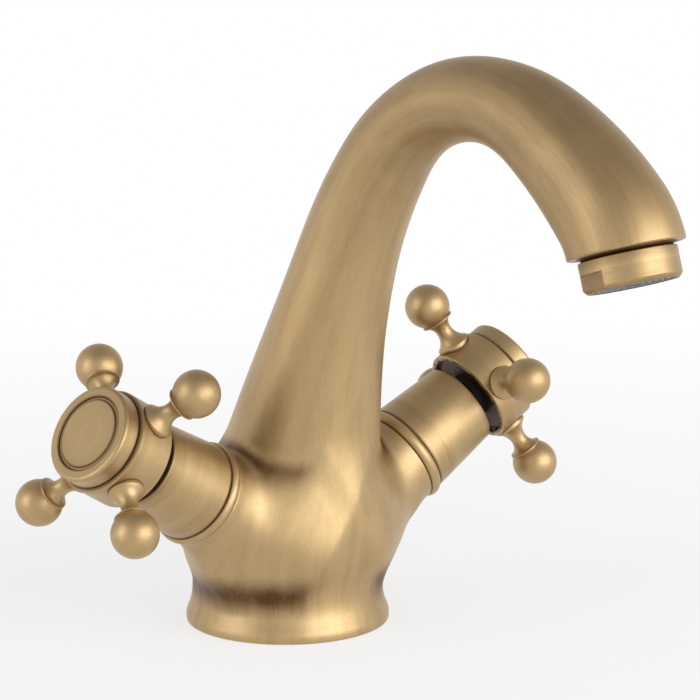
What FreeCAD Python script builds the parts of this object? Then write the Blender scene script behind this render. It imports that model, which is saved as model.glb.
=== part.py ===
import FreeCAD, Part

import math
import os

import Sketcher

# A two-handle basin mixer tap: one brass casting whose neck runs over into a fixed swan-neck
# spout, and two valves that lean outwards from it, each worked by a cross handle.
# Frame: millimetres, +Z up, origin at the centre of the foot's underside on the deck.
# The spout points along -Y. The hot valve is on the -X side and the cold one on the +X side.

Vector = FreeCAD.Vector

# ----------------------------------------------------------------------------- driving sizes
# "along" sizes are measured on the valve axis, from the point where both axes meet.
SIZES = {
    # foot and trunk of the casting
    "foot_radius": 27.5,
    "foot_bulge": 0.15,
    "foot_bulge_height": 1.8,
    "waist_radius": 25.9,
    "waist_height": 9.5,
    "shoulder_radius": 26.4,
    "shoulder_height": 21.0,
    "belly_radius": 25.9,
    "belly_height": 30.0,
    "breast_radius": 23.0,
    "breast_height": 41.0,
    "underside_radius": 21.5,
    "underside_depth": 8.0,
    # centre line of the neck and spout: five arcs, each with a length and a turn
    "neck_start_height": 18.0,
    "neck_start_tilt": 10.4,
    "neck_length": 90.2,
    "neck_turn": 13.4,
    "rise_length": 31.1,
    "rise_turn": 14.3,
    "crown_length": 65.0,
    "crown_turn": 80.0,
    "fall_length": 29.4,
    "fall_turn": 17.0,
    "drop_length": 9.5,
    "drop_turn": 27.0,
    # outer radius of the neck and spout along those arcs
    "neck_lower_radius": 18.8,
    "neck_upper_radius": 15.45,
    "neck_top_radius": 13.25,
    "rise_middle_radius": 12.35,
    "rise_top_radius": 11.5,
    "crown_rear_radius": 10.55,
    "crown_middle_radius": 10.5,
    "crown_front_radius": 10.85,
    "crown_end_radius": 12.1,
    "fall_middle_radius": 13.25,
    "fall_end_radius": 14.05,
    "outlet_radius": 14.3,
    "spout_wall": 3.2,
    "waterway_start_length": 30.0,
    # how the two valve axes lie
    "valve_axis_height": 20.24,
    "valve_axis_setback": -3.13,
    "valve_tilt": 31.0,
    "valve_sweep": 5.6,
    # bosses of the casting that carry the valves
    "boss_face_along": 39.6,
    "boss_radius": 13.4,
    "boss_straight": 2.5,
    "boss_root_along": 12.0,
    "boss_root_above": 28.0,
    "boss_root_below": 22.7,
    "boss_root_width": 23.0,
    "boss_flare": 1.3,
    # bores in the casting
    "seat_along": 18.0,
    "chamber_radius": 9.6,
    "valve_thread_radius": 10.48,
    "valve_thread_length": 6.6,
    "seat_hole_radius": 4.0,
    "seat_hole_bottom_along": 10.0,
    "port_radius": 3.5,
    "port_along": 26.0,
    "port_top_spread": 5.0,
    "inlet_spread": 9.6,
    "inlet_thread_radius": 4.5,
    "inlet_thread_length": 12.0,
    "inlet_bore_radius": 3.6,
    "stud_setback": 11.0,
    "stud_hole_radius": 3.4,
    "stud_hole_length": 12.0,
    # seal under the foot
    "base_seal_outer_radius": 25.4,
    "base_seal_width": 2.8,
    "base_seal_depth": 2.0,
    # bead ring between casting and sleeve
    "ring_width": 3.2,
    "ring_bead_radius": 1.93,
    # headwork: the brass body of the quarter-turn valve
    "fit_gap": 0.05,
    "cut_overrun": 1.0,
    "cage_radius": 8.6,
    "cage_wall": 1.2,
    "cage_start_along": 20.0,
    "window_width": 8.0,
    "window_height": 2.2,
    "valve_seal_radius": 0.85,
    "headwork_flange_radius": 11.8,
    "headwork_flange_thickness": 1.5,
    "hex_across_flats": 19.0,
    "hex_height": 5.0,
    "barrel_radius": 7.5,
    "headwork_top_along": 64.6,
    # ceramic discs and what drives them
    "disc_radius": 7.3,
    "fixed_disc_thickness": 3.0,
    "moving_disc_thickness": 2.5,
    "disc_gap": 0.1,
    "disc_port_inner_radius": 2.4,
    "disc_port_outer_radius": 5.8,
    "disc_port_angle": 80.0,
    "seat_seal_inner_radius": 4.6,
    "seat_seal_length": 2.9,
    "drive_slot_width": 3.0,
    "drive_slot_length": 10.0,
    "drive_slot_depth": 1.2,
    # spindle
    "spindle_radius": 5.0,
    "running_gap": 0.05,
    "foot_bar_length": 12.0,
    "foot_bar_width": 5.0,
    "foot_bar_height": 1.8,
    "spindle_collar_radius": 6.9,
    "spindle_collar_height": 1.3,
    "thrust_washer_thickness": 0.6,
    "spindle_seal_radius": 0.75,
    "spindle_seal_lower_along": 51.0,
    "spindle_seal_pitch": 5.0,
    "circlip_play": 0.3,
    "circlip_thickness": 1.0,
    "circlip_radius": 6.6,
    "circlip_groove_depth": 0.8,
    "circlip_opening": 70.0,
    "spline_start_along": 66.4,
    "spline_radius": 3.95,
    "spline_depth": 0.4,
    "spline_teeth": 20,
    "spindle_top_along": 75.3,
    # sleeve over the headwork
    "sleeve_base_radius": 13.44,
    "sleeve_end_along": 64.1,
    "sleeve_end_radius": 11.9,
    "sleeve_wall": 1.2,
    "sleeve_end_wall": 1.8,
    "sleeve_edge_round": 0.6,
    # cross handle
    "hub_back_along": 67.25,
    "hub_radius": 13.9,
    "hub_front_along": 78.9,
    "hub_chamfer": 0.8,
    "hub_back_rim": 1.5,
    "hub_back_recess": 1.4,
    "hub_web_back_along": 75.5,
    "hub_web_thickness": 1.1,
    "bush_radius": 6.0,
    "bush_back_along": 67.0,
    "cap_plug_radius": 10.9,
    "cap_plug_length": 2.0,
    "cap_plug_wall": 1.3,
    "screw_shank_radius": 2.4,
    "screw_head_radius": 4.2,
    "screw_head_height": 2.6,
    "screw_length": 11.0,
    "screw_socket_across_flats": 3.0,
    "screw_socket_depth": 1.6,
    "cap_radius": 13.0,
    "cap_front_along": 83.9,
    "cap_edge_round": 1.0,
    "cap_web": 1.2,
    "disc_recess_radius": 10.0,
    "disc_recess_depth": 1.6,
    "index_disc_radius": 9.0,
    # spokes
    "spoke_plane_along": 72.8,
    "spoke_count": 4,
    "ball_radius": 6.2,
    "ball_centre_reach": 27.25,
    "fin_radius": 4.65,
    "fin_reach": 21.9,
    "fin_width": 0.9,
    "spoke_waist_radius": 2.05,
    "spoke_waist_reach": 19.6,
    "spoke_foot_radius": 4.7,
    "spoke_foot_edge": 0.7,
    "spoke_tenon_radius": 2.4,
    "spoke_tenon_length": 4.5,
    "hot_handle_angle": 42.8,
    "cold_handle_angle": 15.1,
    # aerator in the outlet
    "aerator_thread_radius": 12.0,
    "aerator_thread_length": 7.0,
    "aerator_ring_radius": 11.9,
    "aerator_ring_gap": 0.9,
    "aerator_neck_radius": 11.1,
    "aerator_ring_height": 5.5,
    "aerator_nose_height": 2.4,
    "aerator_nose_radius": 9.2,
    "aerator_bore_radius": 8.3,
    "aerator_insert_radius": 9.6,
    "aerator_insert_height": 6.5,
    "wrench_flats_across": 22.0,
    "wrench_flats_height": 4.9,
    "wrench_flats_angle": 10.0,
    "mesh_thickness": 0.4,
    "washer_thickness": 1.6,
    "washer_inner_radius": 9.0,
    "jet_hole_radius": 0.6,
    "jet_row_count": 3,
    "jet_row_pitch": 2.1,
}


class Size:
    """A length or angle that carries its number and the sheet formula that gives it."""

    def __init__(self, value, formula):
        self.value = float(value)
        self.formula = formula

    def __float__(self):
        return self.value

    def __add__(self, other):
        return Size(self.value + float(other), "(%s + %s)" % (self.formula, text_of(other)))

    def __sub__(self, other):
        return Size(self.value - float(other), "(%s - %s)" % (self.formula, text_of(other)))

    def __rsub__(self, other):
        return Size(float(other) - self.value, "(%s - %s)" % (text_of(other), self.formula))

    def __mul__(self, other):
        return Size(self.value * float(other), "(%s * %s)" % (self.formula, text_of(other)))

    def __truediv__(self, other):
        return Size(self.value / float(other), "(%s / %s)" % (self.formula, text_of(other)))

    def __neg__(self):
        return Size(-self.value, "(-%s)" % self.formula)

    def sin(self):
        return Size(math.sin(math.radians(self.value)), "sin(%s)" % self.formula)

    def cos(self):
        return Size(math.cos(math.radians(self.value)), "cos(%s)" % self.formula)

    def root(self):
        return Size(math.sqrt(self.value), "sqrt(%s)" % self.formula)

    __radd__ = __add__
    __rmul__ = __mul__


def text_of(size):
    """The formula of a size, or a plain number written out."""
    return size.formula if isinstance(size, Size) else repr(float(size))


doc = FreeCAD.newDocument("BasinMixer")
sheet = doc.addObject("Spreadsheet::Sheet", "Sizes")
for row, (alias, number) in enumerate(SIZES.items(), start=1):
    sheet.set("A%d" % row, alias)
    sheet.set("B%d" % row, str(number))
    sheet.setAlias("B%d" % row, alias)
doc.recompute()


class SizeBook:
    """Gives every cell of the sheet as a Size, by its alias."""

    def __getattr__(self, alias):
        return Size(sheet.get(alias), "Sizes." + alias)


D = SizeBook()


# ----------------------------------------------------------------------------- helpers
def new_body(name):
    """An empty body whose label will name its file."""
    body = doc.addObject("PartDesign::Body", name)
    body.Label = name
    return body


def new_sketch(body, name, role, offset=None):
    """A sketch on one of the body's own origin planes, lifted off it by a size."""
    sketch = body.newObject("Sketcher::SketchObject", name)
    plane = [item for item in body.Origin.OriginFeatures if item.Role == role][0]
    sketch.AttachmentSupport = [(plane, "")]
    sketch.MapMode = "FlatFace"
    if offset is not None:
        sketch.AttachmentOffset = FreeCAD.Placement(Vector(0, 0, float(offset)), FreeCAD.Rotation())
        sketch.setExpression("AttachmentOffset.Base.z", text_of(offset))
    return sketch


def bind(sketch, kind, places, size):
    """Add one dimension to a sketch and tie it to its formula."""
    index = sketch.addConstraint(Sketcher.Constraint(kind, *places, abs(float(size))))
    if isinstance(size, Size):
        formula = size.formula if size.value >= 0 else "-" + size.formula
        sketch.setExpression("Constraints[%d]" % index, formula)


def pin_point(sketch, geometry, end, x, y):
    """Hold one end of a line or arc at x, y from the sketch's origin."""
    for kind, place, axis in (("DistanceX", x, -2), ("DistanceY", y, -1)):
        number = float(place)
        if abs(number) < 1e-9:
            sketch.addConstraint(Sketcher.Constraint("PointOnObject", geometry, end, axis))
        elif number > 0:
            bind(sketch, kind, (-1, 1, geometry, end), place)
        else:
            bind(sketch, kind, (geometry, end, -1, 1), place)


def arc_middle(start, end, radius):
    """The middle of a minor arc; it bulges right of start-to-end, or left for a minus radius."""
    chord = end - start
    half = chord.Length / 2
    sagitta = abs(radius) - math.sqrt(max(radius * radius - half * half, 0.0))
    side = Vector(chord.y, -chord.x, 0).normalize() * (1 if radius > 0 else -1)
    return (start + end) / 2 + side * sagitta


def draw_outline(sketch, corners):
    """Draw a closed outline. A corner is (x, y) or (x, y, radius of the arc to the next one)."""
    first = sketch.GeometryCount
    places = [Vector(float(corner[0]), float(corner[1]), 0) for corner in corners]
    count = len(corners)
    for index, corner in enumerate(corners):
        start, end = places[index], places[(index + 1) % count]
        if len(corner) == 3:
            middle = arc_middle(start, end, float(corner[2]))
            sketch.addGeometry(Part.Arc(start, middle, end))
        else:
            sketch.addGeometry(Part.LineSegment(start, end))
    ends = []
    for index, corner in enumerate(corners):
        # an arc drawn clockwise has its two ends stored the other way round
        clockwise = len(corner) == 3 and float(corner[2]) < 0
        ends.append((2, 1) if clockwise else (1, 2))
    for index in range(count):
        after = (index + 1) % count
        link = (first + index, ends[index][1], first + after, ends[after][0])
        sketch.addConstraint(Sketcher.Constraint("Coincident", *link))
    for index, corner in enumerate(corners):
        pin_point(sketch, first + index, ends[index][0], corner[0], corner[1])
        if len(corner) == 3:
            radius = corner[2] if float(corner[2]) > 0 else -corner[2]
            bind(sketch, "Radius", (first + index,), radius)
    return sketch


def draw_circle(sketch, x, y, radius):
    """Draw a circle with its centre and radius tied to sizes."""
    index = sketch.addGeometry(Part.Circle(Vector(float(x), float(y), 0), Vector(0, 0, 1), float(radius)))
    pin_point(sketch, index, 3, x, y)
    bind(sketch, "Radius", (index,), radius)
    return sketch


def rectangle(width, depth):
    """Corners of a rectangle centred on the sketch's origin."""
    x, y = width / 2, depth / 2
    return [(-x, -y), (x, -y), (x, y), (-x, y)]


def hexagon(across_flats):
    """Corners of a hexagon centred on the sketch's origin, with two flats facing up and down."""
    flat = across_flats / 2
    corner = across_flats / math.sqrt(3)
    half = corner / 2
    return [(corner, 0), (half, flat), (-half, flat), (-corner, 0), (-half, -flat), (half, -flat)]


def turned(body, corners, name="profile"):
    """Turn an outline, given as (radius, height) corners, about the body's own Z axis."""
    sketch = draw_outline(new_sketch(body, body.Name + "_" + name, "XZ_Plane"), corners)
    feature = body.newObject("PartDesign::Revolution", body.Name + "_" + name + "_turned")
    feature.Profile = sketch
    feature.ReferenceAxis = (sketch, ["V_Axis"])
    feature.Angle = 360
    return feature


def padded(body, sketch, height):
    """Add a prism of the sketch's outline, rising from the sketch."""
    feature = body.newObject("PartDesign::Pad", sketch.Name + "_pad")
    feature.Profile = sketch
    feature.setExpression("Length", text_of(height))
    return feature


def pocketed(body, sketch, length=None, both_ways=False, along_normal=False):
    """Cut a sketch's outline out of the body, and make sure that the cut removed something."""
    doc.recompute()
    before = body.Shape.Volume
    feature = body.newObject("PartDesign::Pocket", sketch.Name + "_cut")
    feature.Profile = sketch
    feature.Midplane = both_ways
    feature.Reversed = along_normal
    if length is None:
        feature.Type = "ThroughAll"
    else:
        feature.setExpression("Length", text_of(length))
    doc.recompute()
    if not body.Shape.Volume < before - 1e-6:
        raise ValueError("the cut %s removes nothing" % feature.Name)
    return feature


def repeated(body, feature, count):
    """Repeat a feature evenly round the body's own Z axis."""
    axis = [item for item in body.Origin.OriginFeatures if item.Role == "Z_Axis"][0]
    pattern = body.newObject("PartDesign::PolarPattern", feature.Name + "_ring")
    pattern.Originals = [feature]
    pattern.Axis = (axis, [""])
    pattern.Angle = 360
    pattern.setExpression("Occurrences", text_of(count))
    body.Tip = pattern
    return pattern


def primitive(kind, name, place, **sizes):
    """A Part primitive whose sizes are tied to the sheet."""
    item = doc.addObject("Part::" + kind, name)
    item.Placement = place
    for field, size in sizes.items():
        setattr(item, field, float(size))
        item.setExpression(field, text_of(size))
    return item


def looking_along(point, direction, upright=Vector(1, 0, 0)):
    """A placement at a point whose Z axis follows a direction and whose X axis leans to upright."""
    rotation = FreeCAD.Rotation(Vector(upright), Vector(0, 0, 0), Vector(direction), "ZXY")
    return FreeCAD.Placement(Vector(point), rotation)


def loft_of(name, circles):
    """A smooth solid through circles."""
    loft = doc.addObject("Part::Loft", name)
    loft.Sections = circles
    loft.Solid = True
    loft.Ruled = False
    return loft


def fused(name, pieces):
    """One solid made of several that overlap."""
    joined = doc.addObject("Part::MultiFuse", name)
    joined.Shapes = pieces
    return joined


# ----------------------------------------------------------------------------- shared geometry
class Valve:
    """Where one valve and its handle lie. Side is -1 for hot and +1 for cold."""

    def __init__(self, name, side, handle_angle):
        tilt = math.radians(float(D.valve_tilt))
        sweep = math.radians(float(D.valve_sweep))
        self.name = name
        self.side = side
        self.handle_angle = -side * float(handle_angle)
        self.origin = Vector(0, float(D.valve_axis_setback), float(D.valve_axis_height))
        outwards = Vector(side * math.cos(sweep), -math.sin(sweep), 0)
        self.axis = outwards * math.cos(tilt) + Vector(0, 0, math.sin(tilt))
        self.upright = Vector(0, 0, math.cos(tilt)) - outwards * math.sin(tilt)

    def point(self, along):
        """A point on the valve axis."""
        return self.origin + self.axis * float(along)

    def placement(self, turn=0.0):
        """The frame whose Z is the valve axis and whose X leans upwards, turned about Z."""
        base = looking_along(self.origin, self.axis, self.upright)
        return base.multiply(FreeCAD.Placement(Vector(), FreeCAD.Rotation(Vector(0, 0, 1), turn)))


HOT = Valve("hot", -1, D.hot_handle_angle)
COLD = Valve("cold", 1, D.cold_handle_angle)


class Station:
    """One round section of the trunk or spout: its centre, its tilt from upright and its radius."""

    def __init__(self, y, z, tilt, radius):
        self.centre = Vector(0, float(y), float(z))
        self.tilt = tilt
        self.radius = radius

    def direction(self):
        """The way the centre line runs here."""
        lean = math.radians(self.tilt)
        return Vector(0, -math.sin(lean), math.cos(lean))

    def circle(self, name, inset=0.0):
        """The section as a circle, made smaller by the wall it leaves."""
        place = looking_along(self.centre, self.direction())
        return primitive("Circle", name, place, Radius=self.radius - inset)


def trunk_stations():
    """Sections of the foot and breast, upright and centred on the foot."""
    lean = float(D.neck_start_tilt)
    rows = (
        (0.0, D.foot_radius),
        (D.foot_bulge_height, D.foot_radius + D.foot_bulge),
        (D.waist_height / 2, (D.foot_radius + D.waist_radius) / 2),
        (D.waist_height, D.waist_radius),
        (D.shoulder_height, D.shoulder_radius),
        (D.belly_height, D.belly_radius),
        (D.breast_height, D.breast_radius),
    )
    stations = []
    for height, radius in rows:
        above = max(float(height) - float(D.neck_start_height), 0.0)
        tilt = lean * min(above / float(D.neck_start_height), 1.0)
        stations.append(Station(-above * math.tan(math.radians(lean)), height, tilt, radius))
    return stations


def spout_arcs():
    """The arcs of the centre line: length, turn, and the radii at fractions of the length."""
    return (
        (
            D.neck_length,
            D.neck_turn,
            ((0.5, D.neck_lower_radius), (0.75, D.neck_upper_radius), (1, D.neck_top_radius)),
        ),
        (D.rise_length, D.rise_turn, ((0.5, D.rise_middle_radius), (1, D.rise_top_radius))),
        (
            D.crown_length,
            D.crown_turn,
            (
                (0.25, D.crown_rear_radius),
                (0.5, D.crown_middle_radius),
                (0.75, D.crown_front_radius),
                (1, D.crown_end_radius),
            ),
        ),
        (D.fall_length, D.fall_turn, ((0.5, D.fall_middle_radius), (1, D.fall_end_radius))),
        (D.drop_length, D.drop_turn, ((1, D.outlet_radius),)),
    )


def along_arc(start, length, turn):
    """The section's place after a length of arc that turns evenly by turn degrees."""
    lean = math.radians(start.tilt)
    swing = math.radians(turn)
    radius = length / swing
    y = start.centre.y + radius * (math.cos(lean + swing) - math.cos(lean))
    z = start.centre.z + radius * (math.sin(lean + swing) - math.sin(lean))
    return Station(y, z, start.tilt + turn, start.radius)


def spout_stations():
    """Sections of the neck and spout, from above the breast to the outlet."""
    here = Station(0, D.neck_start_height, float(D.neck_start_tilt), D.breast_radius)
    stations = []
    for length, turn, radii in spout_arcs():
        for fraction, radius in radii:
            station = along_arc(here, float(length) * fraction, float(turn) * fraction)
            station.radius = radius
            stations.append(station)
        here = stations[-1]
    return stations


# ----------------------------------------------------------------------------- casting
# Where the sections of a boss are, from its root, share 1, to its straight end, share 0.
BOSS_SHARES = (1.0, 0.75, 0.5, 0.3, 0.15, 0.0)
SEAL_INNER_RADIUS = D.base_seal_outer_radius - D.base_seal_width
DECK = Size(0, "0")


def boss_section(valve, share, name):
    """A section of a boss: round at its straight end, share 0, and deeper and wider inwards."""
    straight_end = D.boss_face_along - D.boss_straight
    along = straight_end - (straight_end - D.boss_root_along) * share
    flared = share ** float(D.boss_flare)
    above = D.boss_radius + (D.boss_root_above - D.boss_radius) * flared
    below = D.boss_radius + (D.boss_root_below - D.boss_radius) * share
    width = D.boss_radius + (D.boss_root_width - D.boss_radius) * flared
    centre = valve.point(along) + valve.upright * (float(above - below) / 2)
    place = looking_along(centre, valve.axis, valve.upright)
    return primitive("Ellipse", name, place, MajorRadius=(above + below) / 2, MinorRadius=width)


def boss_face(valve, name):
    """The round section of a boss at its face."""
    place = looking_along(valve.point(D.boss_face_along), valve.axis, valve.upright)
    return primitive("Ellipse", name, place, MajorRadius=D.boss_radius, MinorRadius=D.boss_radius)


def valve_bore(valve, name, start, end, radius):
    """A cutter on the valve axis between two places along it."""
    place = looking_along(valve.point(start), valve.axis, valve.upright)
    return primitive("Cylinder", name, place, Radius=radius, Height=end - start)


def upright_bore(name, x, y, start, end, radius):
    """A vertical cutter between two heights."""
    place = FreeCAD.Placement(Vector(float(x), float(y), float(start)), FreeCAD.Rotation())
    return primitive("Cylinder", name, place, Radius=radius, Height=end - start)


def make_casting():
    """The one brass casting: foot, breast, valve bosses, neck and spout, with all its bores."""
    spout = spout_stations()
    outer = trunk_stations() + spout
    skin = [loft_of("casting_skin", [s.circle("skin_circle") for s in outer])]
    for valve in (HOT, COLD):
        sections = [boss_section(valve, share, valve.name + "_boss_section") for share in BOSS_SHARES]
        skin.append(loft_of(valve.name + "_boss", sections + [boss_face(valve, valve.name + "_boss_face")]))
    body = fused("casting_blank", skin)

    floor = along_arc(
        Station(0, D.neck_start_height, float(D.neck_start_tilt), D.neck_lower_radius),
        float(D.waterway_start_length),
        float(D.neck_turn) * float(D.waterway_start_length) / float(D.neck_length),
    )
    hollow = [floor] + spout
    cutters = [loft_of("waterway", [s.circle("waterway_circle", D.spout_wall) for s in hollow])]
    outlet = spout[-1]
    depth = D.aerator_thread_length + D.washer_thickness
    mouth = looking_along(outlet.centre - outlet.direction() * float(depth), outlet.direction())
    radius = D.aerator_thread_radius + D.fit_gap
    cutters.append(primitive("Cylinder", "outlet_thread", mouth, Radius=radius, Height=depth + D.cut_overrun))

    ceiling = D.underside_depth
    cutters.append(upright_bore("underside", 0, 0, DECK, ceiling, D.underside_radius))
    stud_top = ceiling + D.stud_hole_length
    cutters.append(upright_bore("stud_bore", 0, D.stud_setback, ceiling, stud_top, D.stud_hole_radius))
    depth = D.base_seal_depth
    groove = doc.addObject("Part::Cut", "seal_groove")
    groove.Base = upright_bore("seal_groove_outer", 0, 0, DECK, depth, D.base_seal_outer_radius)
    groove.Tool = upright_bore("seal_groove_inner", 0, 0, DECK, depth, SEAL_INNER_RADIUS)
    cutters.append(groove)
    for valve in (HOT, COLD):
        name = valve.name
        chamber_end = D.boss_face_along - D.valve_thread_length
        cutters.append(valve_bore(valve, name + "_chamber", D.seat_along, chamber_end, D.chamber_radius))
        thread_end = D.boss_face_along + D.cut_overrun
        thread_radius = D.valve_thread_radius + D.fit_gap
        cutters.append(valve_bore(valve, name + "_thread", chamber_end, thread_end, thread_radius))
        hole_bottom = D.seat_hole_bottom_along
        cutters.append(valve_bore(valve, name + "_seat_hole", hole_bottom, D.seat_along, D.seat_hole_radius))
        inlet_x = D.inlet_spread * valve.side
        inlet_y = D.valve_axis_setback - D.inlet_spread * D.valve_sweep.sin() / D.valve_sweep.cos()
        climb = D.inlet_spread * D.valve_tilt.sin() / D.valve_tilt.cos() / D.valve_sweep.cos()
        meeting = D.valve_axis_height + climb
        thread_top = ceiling + D.inlet_thread_length
        inlet = (inlet_x, inlet_y)
        cutters.append(
            upright_bore(name + "_inlet_thread", *inlet, ceiling, thread_top, D.inlet_thread_radius)
        )
        cutters.append(upright_bore(name + "_inlet_bore", *inlet, thread_top, meeting, D.inlet_bore_radius))
        start = floor.centre + floor.direction() * float(D.port_radius)
        start = start + Vector(valve.side * float(D.port_top_spread), 0, 0)
        finish = valve.point(D.port_along)
        place = looking_along(start, finish - start)
        port = primitive("Cylinder", name + "_port", place, Radius=D.port_radius)
        port.Height = (finish - start).Length
        cutters.append(port)

    casting = doc.addObject("Part::Cut", "body_casting")
    casting.Base = body
    casting.Tool = fused("casting_bores", cutters)
    return casting


def make_base_seal():
    """The rubber ring in the groove under the foot."""
    body = new_body("base_seal")
    turned(
        body,
        [
            (SEAL_INNER_RADIUS, 0),
            (D.base_seal_outer_radius, 0),
            (D.base_seal_outer_radius, D.base_seal_depth),
            (SEAL_INNER_RADIUS, D.base_seal_depth),
        ],
    )
    return body


# ----------------------------------------------------------------------------- aerator
# How many jets the innermost row has; each further row has as many more.
FIRST_ROW_JETS = 6


def outlet_placement(turn=0.0):
    """The frame of the outlet: Z points out of the spout, and Z = 0 is its rim."""
    outlet = spout_stations()[-1]
    base = looking_along(outlet.centre, outlet.direction())
    return base.multiply(FreeCAD.Placement(Vector(), FreeCAD.Rotation(Vector(0, 0, 1), turn)))


def make_aerator():
    """The screwed aerator: its housing, plastic insert, gauze and sealing washer."""
    nose_top = D.aerator_ring_gap + D.aerator_ring_height
    nose_end = nose_top + D.aerator_nose_height
    lip = D.aerator_insert_radius - D.aerator_bore_radius
    insert_end = nose_end - lip
    insert_start = insert_end - D.aerator_insert_height

    housing = new_body("aerator_housing")
    turned(
        housing,
        [
            (D.aerator_insert_radius, -D.aerator_thread_length),
            (D.aerator_thread_radius, -D.aerator_thread_length),
            (D.aerator_thread_radius, 0),
            (D.aerator_neck_radius, 0),
            (D.aerator_neck_radius, D.aerator_ring_gap),
            (D.aerator_ring_radius, D.aerator_ring_gap),
            (D.aerator_ring_radius, nose_top),
            (D.aerator_nose_radius, nose_end),
            (D.aerator_bore_radius, nose_end),
            (D.aerator_bore_radius, insert_end),
            (D.aerator_insert_radius, insert_end),
        ],
    )
    flats = new_sketch(housing, "wrench_flats", "XY_Plane", nose_end - D.wrench_flats_height)
    inner, half = D.wrench_flats_across / 2, D.aerator_ring_radius
    outer = half + D.cut_overrun
    draw_outline(flats, [(inner, -half), (outer, -half), (outer, half), (inner, half)])
    draw_outline(flats, [(-outer, -half), (-inner, -half), (-inner, half), (-outer, half)])
    pocketed(housing, flats, along_normal=True)

    insert = new_body("aerator_insert")
    turned(
        insert,
        [
            (0, insert_start),
            (D.aerator_insert_radius, insert_start),
            (D.aerator_insert_radius, insert_end),
            (0, insert_end),
        ],
    )
    for row in range(1, int(float(D.jet_row_count)) + 1):
        jets_in_row = FIRST_ROW_JETS * row
        jets = new_sketch(insert, "jet_row_%d" % row, "XY_Plane", insert_end)
        draw_circle(jets, D.jet_row_pitch * row, 0, D.jet_hole_radius)
        repeated(insert, pocketed(insert, jets), jets_in_row)

    mesh = new_body("aerator_mesh")
    turned(
        mesh,
        [
            (0, insert_start - D.mesh_thickness),
            (D.aerator_insert_radius, insert_start - D.mesh_thickness),
            (D.aerator_insert_radius, insert_start),
            (0, insert_start),
        ],
    )
    washer = new_body("aerator_washer")
    top = -D.aerator_thread_length
    turned(
        washer,
        [
            (D.washer_inner_radius, top - D.washer_thickness),
            (D.aerator_thread_radius, top - D.washer_thickness),
            (D.aerator_thread_radius, top),
            (D.washer_inner_radius, top),
        ],
    )
    housing.Placement = outlet_placement(float(D.wrench_flats_angle))
    for piece in (insert, mesh, washer):
        piece.Placement = outlet_placement()
    return [housing, insert, mesh, washer]


# ----------------------------------------------------------------------------- valves
# Places along the valve axis that several pieces share.
RING_TOP = D.boss_face_along + D.ring_width
THREAD_START = D.boss_face_along - D.valve_thread_length
SEAL_SEAT = D.seat_along + D.seat_seal_length
FIXED_DISC_TOP = SEAL_SEAT + D.fixed_disc_thickness
MOVING_DISC_START = FIXED_DISC_TOP + D.disc_gap
MOVING_DISC_TOP = MOVING_DISC_START + D.moving_disc_thickness
COLLAR_START = MOVING_DISC_TOP + D.foot_bar_height
COLLAR_TOP = COLLAR_START + D.spindle_collar_height
WASHER_TOP = COLLAR_TOP + D.thrust_washer_thickness
GUIDE_START = WASHER_TOP + D.circlip_play
CAGE_BORE = D.cage_radius - D.cage_wall
SPINDLE_BORE = D.spindle_radius + D.running_gap
# A seal's groove is this much wider than the seal, and its centre this far below the thread.
SEAL_GROOVE_ROOM = 1.3
SEAL_SETBACK = 1.75
VALVE_SEAL_CENTRE = THREAD_START - D.valve_seal_radius * SEAL_SETBACK
VALVE_SEAL_REACH = D.chamber_radius - D.valve_seal_radius
FLANGE_TOP = RING_TOP + D.headwork_flange_thickness
CIRCLIP_START = D.headwork_top_along + D.circlip_play
CIRCLIP_TOP = CIRCLIP_START + D.circlip_thickness
WEB_FRONT = D.hub_web_back_along + D.hub_web_thickness
SCREW_END = WEB_FRONT - D.screw_length
SPINDLE_SEAL_REACH = SPINDLE_BORE - D.spindle_seal_radius - D.fit_gap / 2


def make_collar_ring(valve):
    """The half-round bead between the boss and the sleeve."""
    body = new_body(valve.name + "_collar_ring")
    inner = D.valve_thread_radius + D.fit_gap * 2
    turned(
        body,
        [
            (inner, D.boss_face_along),
            (D.boss_radius, D.boss_face_along, D.ring_bead_radius),
            (D.boss_radius, RING_TOP),
            (inner, RING_TOP),
        ],
    )
    return body


def make_sleeve(valve):
    """The tapered sleeve over the headwork, which sits on the bead ring."""
    body = new_body(valve.name + "_sleeve")
    hole = D.barrel_radius + D.fit_gap
    turned(
        body,
        [
            (D.sleeve_base_radius - D.sleeve_wall, RING_TOP),
            (D.sleeve_base_radius, RING_TOP),
            (D.sleeve_end_radius, D.sleeve_end_along - D.sleeve_edge_round, D.sleeve_edge_round),
            (D.sleeve_end_radius - D.sleeve_edge_round, D.sleeve_end_along),
            (hole, D.sleeve_end_along),
            (hole, D.sleeve_end_along - D.sleeve_end_wall),
            (D.sleeve_end_radius - D.sleeve_wall, D.sleeve_end_along - D.sleeve_end_wall),
        ],
    )
    return body


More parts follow.
